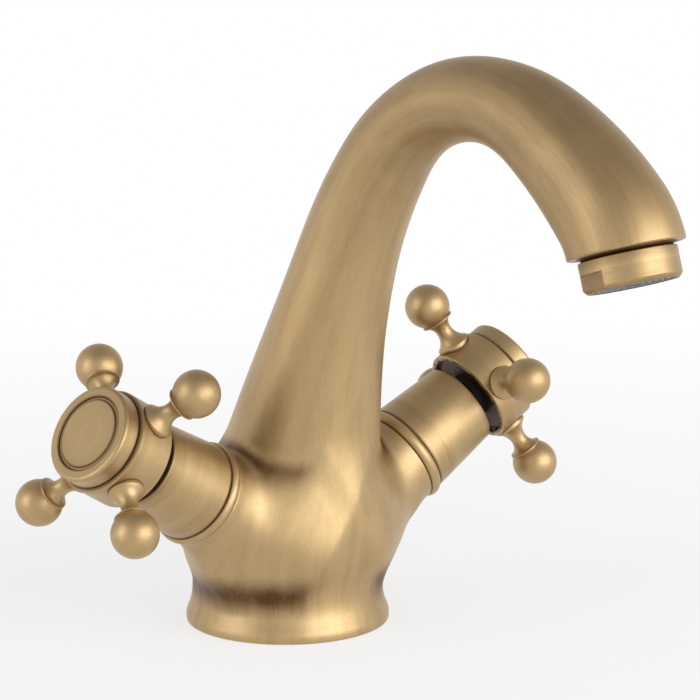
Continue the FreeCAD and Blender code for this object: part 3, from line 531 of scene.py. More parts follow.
@dataclass(frozen=True)
class PlainFinish:
    """A finish for the pieces inside, with clouds and fine marks on Object coordinates."""

    name: str
    light: Triple
    dark: Triple
    roughness: float
    metallic: float = 0.0
    cloud_scale: float = 110.0
    cloud_start: float = 0.35
    cloud_share: float = 1.6
    mark_scale: float = 900.0
    mark_share: float = 0.4
    mark_roughness: float = 0.12
    depth: float = 0.08

    def material(self) -> bpy.types.Material:
        """Builds the material.

        Returns:
            The material, from light to dark with the clouds and a little with the marks.
        """
        made = bpy.data.materials.new(self.name)
        g = Graph(made)
        place = g.place()
        cloud = g.noise(place, self.cloud_scale, 3.0)
        marks = g.noise(place, self.mark_scale)
        share = (cloud - self.cloud_start) * self.cloud_share + (marks - MEAN) * self.mark_share
        g.coat(
            {
                "Base Color": g.mix(share.clamped(), colour(*self.light), colour(*self.dark)),
                "Metallic": self.metallic,
                "Roughness": (self.roughness + (marks - MEAN) * self.mark_roughness).clamped(),
                "Normal": g.relief(marks, self.depth),
            }
        )
        return made


class Finish(Enum):
    """The finishes, by the record's material slots."""

    ANTIQUE_BRASS = AntiqueBrass()
    PLAIN_BRASS = PlainFinish("plain_brass", (205, 175, 112), (182, 148, 84), 0.3, 1.0)
    BLACK_RUBBER = PlainFinish("black_rubber", (40, 40, 40), (26, 26, 26), 0.75)
    WHITE_CERAMIC = PlainFinish("white_ceramic", (238, 236, 228), (226, 223, 214), 0.18)
    STAINLESS_STEEL = PlainFinish("stainless_steel", (188, 188, 186), (160, 160, 158), 0.32, 1.0)
    # Painted shade: the thrust washer and spline bush are made near-black to stand for the shade in
    # the gap between sleeve and hub.
    BLACK_NYLON = PlainFinish("black_nylon", (38, 36, 34), (26, 25, 24), 0.5)
    GREY_PLASTIC = PlainFinish("grey_plastic", (88, 91, 95), (58, 60, 63), 0.42)


class Finishes:
    """Makes each material once and puts it on pieces."""

    def __init__(self) -> None:
        """Starts with no material made."""
        self.made: dict[Finish, bpy.types.Material] = {}

    def put(self, piece: bpy.types.Object, finish: Finish) -> None:
        """Gives a piece one finish all over.

        Args:
            piece: The piece or CAD node.
            finish: Its finish, whose material is made when it is first asked for.
        """
        if finish not in self.made:
            self.made[finish] = finish.value.material()
        piece.data.materials.clear()
        piece.data.materials.append(self.made[finish])


def add_piece(
    skin: Skin,
    name: str,
    body: str,
    replaced: str,
    finishes: Finishes,
    finish: Finish = Finish.ANTIQUE_BRASS,
) -> None:
    """Makes a piece, rides it on its body and hides the CAD node that it stands for.

    Args:
        skin: The surface.
        name: The piece's name.
        body: The CAD body that it moves with.
        replaced: The CAD node.
        finishes: Where materials come from.
        finish: The piece's finish, named after its material slot.
    """
    piece = skin.to_object(name)
    finishes.put(piece, finish)
    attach(piece, body)
    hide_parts(replaced)
    LOG.info("%s: %d points on %s", name, len(skin.points), body)


# Casting
@dataclass(frozen=True)
class SpoutLine:
    """The centre line of foot, trunk and spout: arcs in the YZ plane, each tangent to the last.

    The line starts below the deck. Turns are in degrees, knots are the trunk's sections along
    the line from the deck, and radii are the trunk's there.
    """

    start_height: float = -20.0
    lengths: tuple[float, ...] = (28.0, 20.0, 80.2, 31.1, 65.0, 29.4, 9.5, 8.0)
    turns: tuple[float, ...] = (0.001, 11.89, 11.91, 14.3, 80.0, 17.0, 27.0, 0.001)
    knots: tuple[float, ...] = (
        -20, 0, 1.8, 4.75, 9.5, 21, 30, 41.5, 63.1, 85.65, 108.2, 123.75, 139.3,
        155.55, 171.8, 188.05, 204.3, 219.0, 233.7, 243.2, 251.2,
    )
    radii: tuple[float, ...] = (
        27.3, 27.5, 27.65, 26.7, 25.9, 26.4, 25.9, 23.0, 18.8, 15.45, 13.25, 12.35, 11.5,
        10.55, 10.5, 10.85, 12.1, 13.25, 14.05, 14.3, 14.35,
    )

    def arcs(self) -> list[tuple[Array, float, float, float]]:
        """Works out where each arc starts.

        Returns:
            Start point, tilt from upright, turn and length of each arc, angles in radians.
        """
        spot, tilt, found = np.array([0.0, self.start_height]), 0.0, []
        for length, degrees in zip(self.lengths, self.turns):
            turn = math.radians(degrees)
            found.append((spot.copy(), tilt, turn, length))
            normal = np.array([math.cos(tilt), math.sin(tilt)])
            after = np.array([math.cos(tilt + turn), math.sin(tilt + turn)])
            spot = spot + length / turn * (after - normal)
            tilt += turn
        return found

    def nearest(self, y: Array, z: Array) -> tuple[Array, Array]:
        """The nearest place on the line for points of the YZ plane.

        On each arc it is where the ray from the arc's centre through the point meets the arc,
        kept within its ends, and the arc with the least distance is taken.

        Args:
            y: Places along Y.
            z: Places along Z.

        Returns:
            The distance along the line from the deck, and the signed offset from the line,
            positive on the outer side of the bends.
        """
        best = np.full(y.shape, np.inf)
        along, offset = np.zeros(y.shape), np.zeros(y.shape)
        done = self.start_height
        for spot, tilt, turn, length in self.arcs():
            bend = length / turn
            centre = spot - bend * np.array([math.cos(tilt), math.sin(tilt)])
            dy, dz = y - centre[0], z - centre[1]
            angle = (np.arctan2(dz, dy) - tilt + math.pi) % FULL_TURN - math.pi
            angle = np.clip(angle, 0, turn)
            cos, sin = np.cos(tilt + angle), np.sin(tilt + angle)
            gap_y, gap_z = dy - bend * cos, dz - bend * sin
            gap = np.hypot(gap_y, gap_z)
            nearer = gap < best
            best = np.where(nearer, gap, best)
            along = np.where(nearer, done + bend * angle, along)
            side = np.sign(gap_y * cos + gap_z * sin)
            offset = np.where(nearer, gap * side, offset)
            done += length
        return along, offset

    def radius(self, along: Array) -> Array:
        """The trunk's radius: a natural cubic spline through the sections.

        Between two sections the radius is the straight mix of theirs plus each end's bend times
        the cube of the distance from the other end, and the bends make the slopes agree.

        Args:
            along: Distances along the line from the deck.

        Returns:
            The radii.
        """
        x, y = np.array(self.knots, float), np.array(self.radii, float)
        gap, slope = np.diff(x), np.diff(y) / np.diff(x)
        count = len(x)
        table = np.eye(count)
        right = np.zeros(count)
        for i in range(1, count - 1):
            table[i, i - 1 : i + 2] = gap[i - 1], 2 * (gap[i - 1] + gap[i]), gap[i]
            right[i] = 6 * (slope[i] - slope[i - 1])
        bend = np.linalg.solve(table, right)
        s = np.clip(along, x[0], x[-1])
        i = np.clip(np.searchsorted(x, s) - 1, 0, count - 2)
        left, rest, h = s - x[i], x[i + 1] - s, gap[i]
        curve = (bend[i] * rest**3 + bend[i + 1] * left**3) / (6 * h)
        straight = (y[i] / h - bend[i] * h / 6) * rest + (y[i + 1] / h - bend[i + 1] * h / 6) * left
        return curve + straight

    def outlet(self) -> Place:
        """Stands axes on the outlet.

        Returns:
            Axes at the centre of the outlet's rim, with the axis out of the spout.
        """
        spot, tilt, _, _ = self.arcs()[-1]
        axis = np.array([0, -math.sin(tilt), math.cos(tilt)])
        return Place(np.array([0, spot[0], spot[1]]), axis, np.array([1.0, 0, 0]))


class Side(Enum):
    """The two valves, with the side of the tap that each is on."""

    HOT = -1
    COLD = 1

    @property
    def label(self) -> str:
        """The side's name in nodes and bodies."""
        return self.name.lower()


@dataclass(frozen=True)
class ValveAxis:
    """Where a valve and its handle stand: tilted up and swept towards the spout's side."""

    side: Side
    tilt: float = 31.0
    sweep: float = 5.6
    setback: float = -3.13
    height: float = 20.24

    def place(self) -> Place:
        """Works out the valve's axes.

        Returns:
            Axes with the axis out along the valve and the upright above it.
        """
        tilt, sweep = math.radians(self.tilt), math.radians(self.sweep)
        outwards = np.array([self.side.value * math.cos(sweep), -math.sin(sweep), 0])
        up = np.array([0, 0, 1.0])
        axis = outwards * math.cos(tilt) + up * math.sin(tilt)
        upright = up * math.cos(tilt) - outwards * math.sin(tilt)
        return Place(np.array([0, self.setback, self.height]), axis, upright)


@dataclass(frozen=True)
class End:
    """A flat end of the casting, and the rows of radius and depth that go on inside."""

    place: Place
    face: float
    edge: float
    width: float
    rows: tuple[Pair, ...]

    @property
    def level(self) -> float:
        """Where the net is cut, which leaves room for the rounded edge."""
        return self.face - self.edge

    def near(self, points: Array, back: float, ahead: float) -> Array:
        """Tells which points are about the cut.

        Args:
            points: Points in the row frame.
            back: How far behind the cut they may be.
            ahead: How far past it they may be.

        Returns:
            True for each point that is near, and within the end's width of its axis.
        """
        along, up, over = self.place.local(points)
        gap = along - self.level
        return (gap > -back) & (gap < ahead) & (np.hypot(up, over) < self.width)


@dataclass(frozen=True)
class Casting:
    """The one-piece body: foot, trunk, spout and the two flared bosses, with soft junctions.

    A pair of numbers is where a smooth rise starts and over how much it runs.
    """

    line: SpoutLine = SpoutLine()
    boss_face: float = 39.6
    boss_straight: float = 37.1
    boss_root: float = 12.0
    boss_radius: float = 13.4
    boss_overrun: float = 5.0
    root_above: float = 28.0
    root_below: float = 22.7
    root_width: float = 20.8
    root_taper: float = 0.4
    flare: float = 1.3
    front: Pair = (2.0, 8.0)
    tuck: float = 0.45
    tuck_gain: float = 1.6
    least_slope: float = 0.02
    blend: float = 12.0
    blend_middle: float = 5.0
    blend_least: float = 4.0
    middle_reach: float = 24.0
    waist: float = 6.0
    face_margin: float = 1.0
    swell_run: float = 16.0
    meeting: float = 0.55
    meeting_run: float = 16.0
    grid_x: Pair = (-49.5, 49.6)
    grid_y: Pair = (-152.0, 34.0)
    grid_z: Pair = (-8.0, 167.0)
    bosses_top: float = 90.0
    pitch: float = 1.0
    rounds: int = 8
    evening_rounds: int = 5
    evening: float = 0.6
    slope_step: float = 0.05
    least_steep: float = 0.2
    cut_back: float = 9.0
    cut_ahead: float = 30.0
    edge_steps: int = 4
    edge_guard: float = 0.15
    face_edge: float = 0.35
    foot_edge: float = 0.45
    rim_edge: float = 0.5
    foot_width: float = 34.0
    rim_width: float = 20.0
    face_width: float = 18.0
    under_rows: tuple[Pair, ...] = (
        (25.4, 0), (25.4, 2.0), (22.6, 2.0), (22.6, 0), (21.5, 0), (21.5, 8.0),
    )
    bore_rows: tuple[Pair, ...] = ((12.05, 0), (12.05, 8.6), (9.0, 8.6), (9.0, 14.0))
    seat_rows: tuple[Pair, ...] = ((10.5, 0), (10.5, 6.6), (9.6, 6.6), (9.6, 21.6))
    # Junction hollows: brown left by rubbing and painted shade in the creases between trunk and
    # bosses.
    hollow_fill: Pair = (0.08, 0.45)
    hollow_bottom: Pair = (41.0, 8.0)
    hollow_top: Pair = (-66.0, 12.0)
    hollow_aside: Pair = (8.0, 8.0)
    # Painted shade round the waist: a dark band for the dark reflection and shade under the bosses.
    waist_shade_height: float = 12.5
    waist_shade_spread: float = 7.5
    waist_shade_aside: Pair = (7.0, 9.0)
    waist_shade: float = 0.95
    # Darker towards the top of the spout.
    crown: Pair = (95.0, 50.0)
    crown_darkening: float = 0.24

    def boss(self, points: Array, place: Place) -> tuple[Array, Array]:
        """Distance outside a boss, and how far its junction is blended.

        Across its axis a boss is a rounded oval, which grows from a circle at its face to its
        root: |u|^p + |w|^p = 1, with u up and w over as shares of the oval's half height and
        half width. The power p is 2, an ellipse, and less in the lower front near the root,
        which tucks it in. The distance is the oval's level less 1, over the level's slope.

        Args:
            points: Points in the row frame.
            place: Axes of the valve.

        Returns:
            The distances and the widths of the blend, which are least at the waist and the
            face and greatest in the middle of the front.
        """
        along, up, over = place.local(points)
        share = np.clip((self.boss_straight - along) / (self.boss_straight - self.boss_root), 0, 1)
        grown = share**self.flare
        above = self.boss_radius + (self.root_above - self.boss_radius) * grown
        below = self.boss_radius + (self.root_below - self.boss_radius) * share
        wide = self.boss_radius + (self.root_width - self.boss_radius) * grown
        inner = 1 - self.root_taper * smoothstep((self.boss_root - along) / self.boss_root)
        above, below, wide = above * inner, below * inner, wide * inner
        high, centre = (above + below) / 2, (above - below) / 2
        u, w = (up - centre) / high, over / wide
        front = rise(-points[..., 1], *self.front)
        lower, rooted = smoothstep(-u * self.tuck_gain), smoothstep(share * self.tuck_gain)
        power = 2 - self.tuck * lower * rooted * front
        level = np.maximum((np.abs(u) ** power + np.abs(w) ** power) ** (1 / power), TINY)
        slope_u, slope_w = (np.abs(v / level) ** (power - 1) for v in (u, w))
        slope = np.hypot(slope_u / high, slope_w / wide)
        gap = (level - 1) / np.maximum(slope, self.least_slope)
        gap = np.maximum(gap, -along)
        gap = np.maximum(gap, along - self.boss_face - self.boss_overrun)
        swell = rise(points[..., 2], self.waist, self.swell_run)
        swell = swell * rise(-along, self.face_margin - self.boss_face, self.swell_run)
        middle = smoothstep(1 - np.abs(points[..., 0]) / self.middle_reach) * front
        blend = self.blend + self.blend_middle * middle
        return gap, self.blend_least + (blend - self.blend_least) * swell

    def field(self, points: Array, trunk: Array) -> tuple[Array, Array]:
        """Signed distance outside the casting, and how much the junctions fill each point.

        Two distances a and b join as their lesser less h^2 w / 4, where w is the blend's width
        and h is what the difference leaves of it, as a share, from 0 to 1. The bosses join each
        other first, by a share of the width, and then the trunk by all of it.

        Args:
            points: Points in the row frame.
            trunk: The trunk's distances at those points.

        Returns:
            The distances, and the fill: h times w as a share of the plain blend.
        """
        sides = (self.boss(points, ValveAxis(side).place()) for side in Side)
        (hot, hot_width), (cold, cold_width) = sides
        nearer = smoothstep(0.5 + (cold - hot) / self.meeting_run)
        width = hot_width * nearer + cold_width * (1 - nearer)
        left = np.clip(1 - np.abs(hot - cold) / (width * self.meeting), 0, 1)
        gap = np.minimum(hot, cold) - left * left * width * self.meeting / 4
        left = np.clip(1 - np.abs(trunk - gap) / width, 0, 1)
        return np.minimum(trunk, gap) - left * left * width / 4, left * width / self.blend

    def solid(self, points: Array) -> tuple[Array, Array]:
        """The field at loose points.

        Args:
            points: Points in the row frame.

        Returns:
            The distances and the fill.
        """
        along, offset = self.line.nearest(points[:, 1], points[:, 2])
        trunk = np.hypot(points[:, 0], offset) - self.line.radius(along)
        return self.field(points, trunk)

    def grid(self) -> tuple[Array, Array, Array, Array]:
        """The field on a grid round the casting.

        Returns:
            The distances, and the grid's places along each axis.
        """
        x, y, z = (np.arange(*span, self.pitch) for span in (self.grid_x, self.grid_y, self.grid_z))
        yy, zz = np.meshgrid(y, z, indexing="ij")
        along, offset = self.line.nearest(yy, zz)
        values = np.hypot(x[:, None, None], offset) - self.line.radius(along)
        low = np.searchsorted(z, self.bosses_top)
        points = np.stack(np.meshgrid(x, y, z[:low], indexing="ij"), -1)
        values[:, :, :low] = self.field(points, values[:, :, :low])[0]
        return values, x, y, z

    def net(self) -> tuple[Array, Array]:
        """Vertices and faces of the field's zero surface, as a net over the grid's cells.

        Each cell that the surface crosses holds one vertex, at the mean of the crossings on its
        edges, and each grid edge that it crosses makes one face of the four cells round it.

        Returns:
            The vertices and the faces.
        """
        values, x, y, z = self.grid()
        inside = values < 0
        shape = tuple(n - 1 for n in values.shape)
        total = np.zeros((*shape, 3))
        count = np.zeros(shape)
        for axis in range(3):
            others = [k for k in range(3) if k != axis]
            for shift in ((0, 0), (0, 1), (1, 0), (1, 1)):
                first = [slice(None)] * 3
                for other, step in zip(others, shift):
                    first[other] = slice(step, step + shape[other])
                last = list(first)
                first[axis], last[axis] = slice(0, shape[axis]), slice(1, shape[axis] + 1)
                a, b = values[tuple(first)], values[tuple(last)]
                crossed = (a < 0) != (b < 0)
                share = np.where(crossed, a / np.where(crossed, a - b, 1), 0)
                total[..., axis] += share
                for other, step in zip(others, shift):
                    total[..., other] += crossed * step
                count += crossed
        cells = np.argwhere(count > 0)
        index = np.full(shape, -1)
        index[tuple(cells.T)] = np.arange(len(cells))
        mean = total[tuple(cells.T)] / count[tuple(cells.T)][:, None]
        points = np.array([x[0], y[0], z[0]]) + (cells + mean) * self.pitch
        faces = []
        for axis in range(3):
            one, two = [k for k in range(3) if k != axis]
            start, stop = [slice(None)] * 3, [slice(None)] * 3
            start[axis], stop[axis] = slice(0, -1), slice(1, None)
            crossed = inside[tuple(start)] != inside[tuple(stop)]
            spots = np.argwhere(crossed)
            spots = spots[(spots[:, one] > 0) & (spots[:, two] > 0)]
            outward = inside[tuple(start)][tuple(spots.T)]
            corners = []
            for a, b in ((0, 0), (1, 0), (1, 1), (0, 1)):
                cell = spots.copy()
                cell[:, one] -= a
                cell[:, two] -= b
                corners.append(index[tuple(cell.T)])
            quads = np.stack(corners, -1)
            flip = outward if axis == 1 else ~outward
            quads[flip] = quads[flip][:, ::-1]
            faces.append(quads)
        return points, np.concatenate(faces)

    def settled(self, points: Array, faces: Array) -> Array:
        """Evens the net out and brings it onto the zero surface.

        Each round moves a vertex towards the mean of its neighbours, then back along the
        field's slope by the distance over the slope's length, as Newton's method does. The last
        rounds only bring it back.

        Args:
            points: The vertices.
            faces: The faces.

        Returns:
            The moved vertices.
        """
        ends = np.concatenate([faces[:, [k, (k + 1) % 4]] for k in range(4)])
        start, end = np.concatenate([ends, ends[:, ::-1]]).T
        number = np.bincount(start, minlength=len(points))[:, None]
        step = self.slope_step
        for turn in range(self.rounds):
            if turn < self.evening_rounds:
                sums = [np.bincount(start, points[end, k], len(points)) for k in range(3)]
                mean = np.stack(sums, -1) / number
                points = points * (1 - self.evening) + mean * self.evening
            gap = self.solid(points)[0]
            ahead, behind = (
                np.stack([self.solid(points + move * axis)[0] for axis in np.eye(3)], -1)
                for move in (step, -step)
            )
            slope = (ahead - behind) / (2 * step)
            steep = np.maximum((slope**2).sum(-1), self.least_steep)
            points = points - (gap / steep)[:, None] * slope
        return points

    def ends(self) -> list[End]:
        """Lists the flat ends.

        Returns:
            The underside, the outlet and the two boss faces.
        """
        deck = Place(np.zeros(3), np.array([0, 0, -1.0]), np.array([1.0, 0, 0]))
        seat = (self.boss_face, self.face_edge, self.face_width, self.seat_rows)
        return [
            End(deck, 0.0, self.foot_edge, self.foot_width, self.under_rows),
            End(self.line.outlet(), 0.0, self.rim_edge, self.rim_width, self.bore_rows),
            *[End(ValveAxis(side).place(), *seat) for side in Side],
        ]

    def cut(self, points: Array, faces: Array) -> tuple[Array, Array, Array]:
        """Cuts the net flat at the foot, the boss faces and the rim.

        Args:
            points: The vertices.
            faces: The faces.

        Returns:
            The vertices, the quads and the triangles that are left.
        """
        mesh = bmesh.new()
        data = bpy.data.meshes.new("casting_net")
        data.from_pydata(points.tolist(), [], faces.tolist())
        mesh.from_mesh(data)
        for end in self.ends():
            mesh.verts.ensure_lookup_table()
            near = end.near(np.array([v.co for v in mesh.verts]), self.cut_back, self.cut_ahead)
            verts = [mesh.verts[i] for i in np.flatnonzero(near)]
            group = set(verts)
            edges = {e for v in verts for e in v.link_edges if e.other_vert(v) in group}
            flats = {f for v in verts for f in v.link_faces if all(w in group for w in f.verts)}
            bmesh.ops.bisect_plane(
                mesh,
                geom=[*verts, *edges, *flats],
                dist=1e-4,
                plane_co=end.place.points(end.level),
                plane_no=end.place.axis,
                clear_outer=True,
            )
        mesh.verts.index_update()
        kept = np.array([v.co for v in mesh.verts])
        bmesh.ops.triangulate(mesh, faces=[f for f in mesh.faces if len(f.verts) > 4])
        quads = np.array([[v.index for v in f.verts] for f in mesh.faces if len(f.verts) == 4])
        sharp = np.array([[v.index for v in f.verts] for f in mesh.faces if len(f.verts) == 3])
        mesh.free()
        bpy.data.meshes.remove(data)
        return kept, quads, sharp

    def collar(self, points: Array, end: End, edges: Array) -> tuple[Array, Array, Array]:
        """Rounds the edge of a cut and carries it on inside as rows of a turned surface.

        The cut's rim vertices are put in order by their angle. Row by row they move inwards
        over a quarter round, then to fixed radii, and the last row closes on a pole.

        Args:
            points: All vertices so far.
            end: The flat end.
            edges: Vertex numbers on the open edges.

        Returns:
            The new vertices, quads and triangles.
        """
        place, level, edge = end.place, end.level, end.edge
        rim = edges[end.near(points[edges], 0.01, 0.01)]
        _, up, over = place.local(points[rim])
        order = np.argsort(np.arctan2(over, up))
        rim, up, over = rim[order], up[order], over[order]
        reach = np.hypot(up, over)
        wide = len(rim)
        made = []
        for k in range(1, self.edge_steps + 1):
            angle = math.pi / 2 * k / self.edge_steps
            made.append((reach - edge * (1 - math.cos(angle)), level + edge * math.sin(angle)))
        made.append((reach - edge - self.edge_guard, level + edge))
        made.extend((np.full(wide, radius), end.face - depth) for radius, depth in end.rows)
        new = np.concatenate([place.points(s, r * up / reach, r * over / reach) for r, s in made])
        numbers = np.concatenate([rim, len(points) + np.arange(len(new))]).reshape(-1, wide)
        after = np.roll(numbers, -1, 1)
        quads = np.stack([numbers[:-1], after[:-1], after[1:], numbers[1:]], -1).reshape(-1, 4)
        top = np.full(wide, len(points) + len(new))
        fan = np.stack([numbers[-1], after[-1], top], -1)
        return np.concatenate([new, place.points(made[-1][1])[None]]), quads, fan

    def skin(self) -> Skin:
        """Makes the whole casting as one closed surface.

        Returns:
            The surface, brushed along the spout's line.
        """
        points, faces = self.net()
        points, quads, sharp = self.cut(self.settled(points, faces), faces)
        quad_sides = [quads[:, [k, (k + 1) % 4]] for k in range(4)]
        sides = np.concatenate([*quad_sides, *[sharp[:, [k, (k + 1) % 3]] for k in range(3)]])
        keys, counts = np.unique(np.sort(sides, 1), axis=0, return_counts=True)
        open_edges = np.unique(keys[counts == 1])
        blocks, fans = [quads], [sharp]
        for end in self.ends():
            new, more, fan = self.collar(points, end, open_edges)
            points = np.concatenate([points, new])
            blocks.append(more)
            fans.append(fan)
        along, offset = self.line.nearest(points[:, 1], points[:, 2])
        grain = np.stack([points[:, 0], offset, along * SPOUT_GRAIN], -1)
        faces = [np.concatenate(blocks), np.concatenate(fans)]
        return Skin(points, faces, grain, self.patina_and_shade(points))

    def patina_and_shade(self, points: Array) -> Array:
        """How brown each point is: brown and painted shade in the junctions' hollows, painted shade
        round the waist, and darker towards the top on the crown.

        Each is a product of smooth rises with the fill, the height and the distance from the
        middle plane, and the largest of the three counts.

        Args:
            points: Points in the row frame.

        Returns:
            The brown and painted shade, from 0 to 1.
        """
        fill = self.solid(points)[1]
        aside, height = np.abs(points[:, 0]), points[:, 2]
        # Brown left by rubbing and painted shade in the junctions' creases.
        hollow = rise(fill, *self.hollow_fill) * rise(height, *self.hollow_bottom)
        hollow = hollow * rise(-height, *self.hollow_top) * rise(aside, *self.hollow_aside)
        # Painted shade: a dark band round the waist, away from the middle and under the bosses.
        waist_shade_band = smoothstep(1 - np.abs(height - self.waist_shade_height) / self.waist_shade_spread)
        waist = waist_shade_band * rise(aside, *self.waist_shade_aside) * self.waist_shade
        # Darker towards the top of the spout.
        crown = rise(height, *self.crown) * self.crown_darkening
        return np.maximum(np.maximum(hollow, waist), crown)

    def build(self, finishes: Finishes) -> None:
        """Adds the casting to the scene."""
        add_piece(self.skin(), "tap_body", "root", "body_casting", finishes)


# Valves and handles
@dataclass(frozen=True)
class ValveCover:
    """The bead ring and the tapered sleeve between a boss and its handle."""

    side: Side
    ring_start: float = 39.6
    ring_end: float = 42.8
    ring_inner: float = 10.9
    ring_radius: float = 13.4
    bead_radius: float = 1.93
    bead_steps: int = 16
    # Painted shadow lines at the bead's two edges.
    seam_shade_levels: tuple[float, ...] = (0.95, 0.35, 0.45, 1.0)
    sleeve_base: float = 13.44
    sleeve_end: float = 11.9
    sleeve_top: float = 64.1
    sleeve_wall: float = 1.2
    end_wall: float = 1.8
    barrel_hole: float = 7.6
    edge: float = 0.6

    def ring(self) -> Skin:
        """The ring, whose outside is an arc of the bead's radius between its two edges.

        Returns:
            The surface, with painted shadow in the seams on both sides of the bead.
        """
        half = (self.ring_end - self.ring_start) / 2
        dip = math.sqrt(self.bead_radius**2 - half**2)
        angle = math.degrees(math.asin(half / self.bead_radius))
        centre = (self.ring_radius - dip, self.ring_start + half)
        bead = arc(centre, self.bead_radius, -angle, angle, self.bead_steps)
        ends = [(self.ring_inner, self.ring_end), (self.ring_inner, self.ring_start)]
        radius, along = np.array([*[corner[:2] for corner in bead], *ends]).T
        # Painted shadow where the bead overhangs the body and where it meets the sleeve.
        seam_shade = np.zeros(len(radius))
        seam_shade[[0, 1, self.bead_steps - 1, self.bead_steps]] = self.seam_shade_levels
        return turned_skin(ValveAxis(self.side).place(), radius, along, seam_shade, True, FINE_COLUMNS)

    def sleeve(self) -> Skin:
        """The sleeve: a cone with a rounded end, hollow round the headwork.

        Returns:
            The surface, with brown and painted shade at its two ends.
        """
        wide, slim, low, high = self.sleeve_base, self.sleeve_end, self.ring_end, self.sleeve_top
        taper, ledge = wide - slim, high - self.end_wall
        # The last number of each corner is brown left by rubbing and painted shade; the insides get
        # full painted shade.
        corners = [
            (wide - self.sleeve_wall, low, 0, 1),
            (wide - 0.12, low, 0, 1),
            (wide - 0.02, low + 0.35, 0, 0.8),
            (wide - taper * 0.05, low + 0.9, 0, 0.12),
            (wide - taper * 0.5, (low + high) / 2, 0, 0),
            (slim + taper * 0.06, high - 1.6, 0, 0.1),
            (slim, high, self.edge, 0.25),
            (self.barrel_hole, high, 0.15, 0.8),
            (self.barrel_hole, ledge, 0, 1),
            (slim - self.sleeve_wall, ledge, 0, 1),
        ]
        return lathe(ValveAxis(self.side).place(), corners, True)

    def build(self, finishes: Finishes) -> None:
        """Adds the ring and the sleeve.

        Args:
            finishes: Where materials come from.
        """
        label = self.side.label
        add_piece(self.ring(), f"{label}_bead_ring", "root", f"{label}_collar_ring", finishes)
        add_piece(self.sleeve(), f"{label}_taper_sleeve", "root", f"{label}_sleeve", finishes)


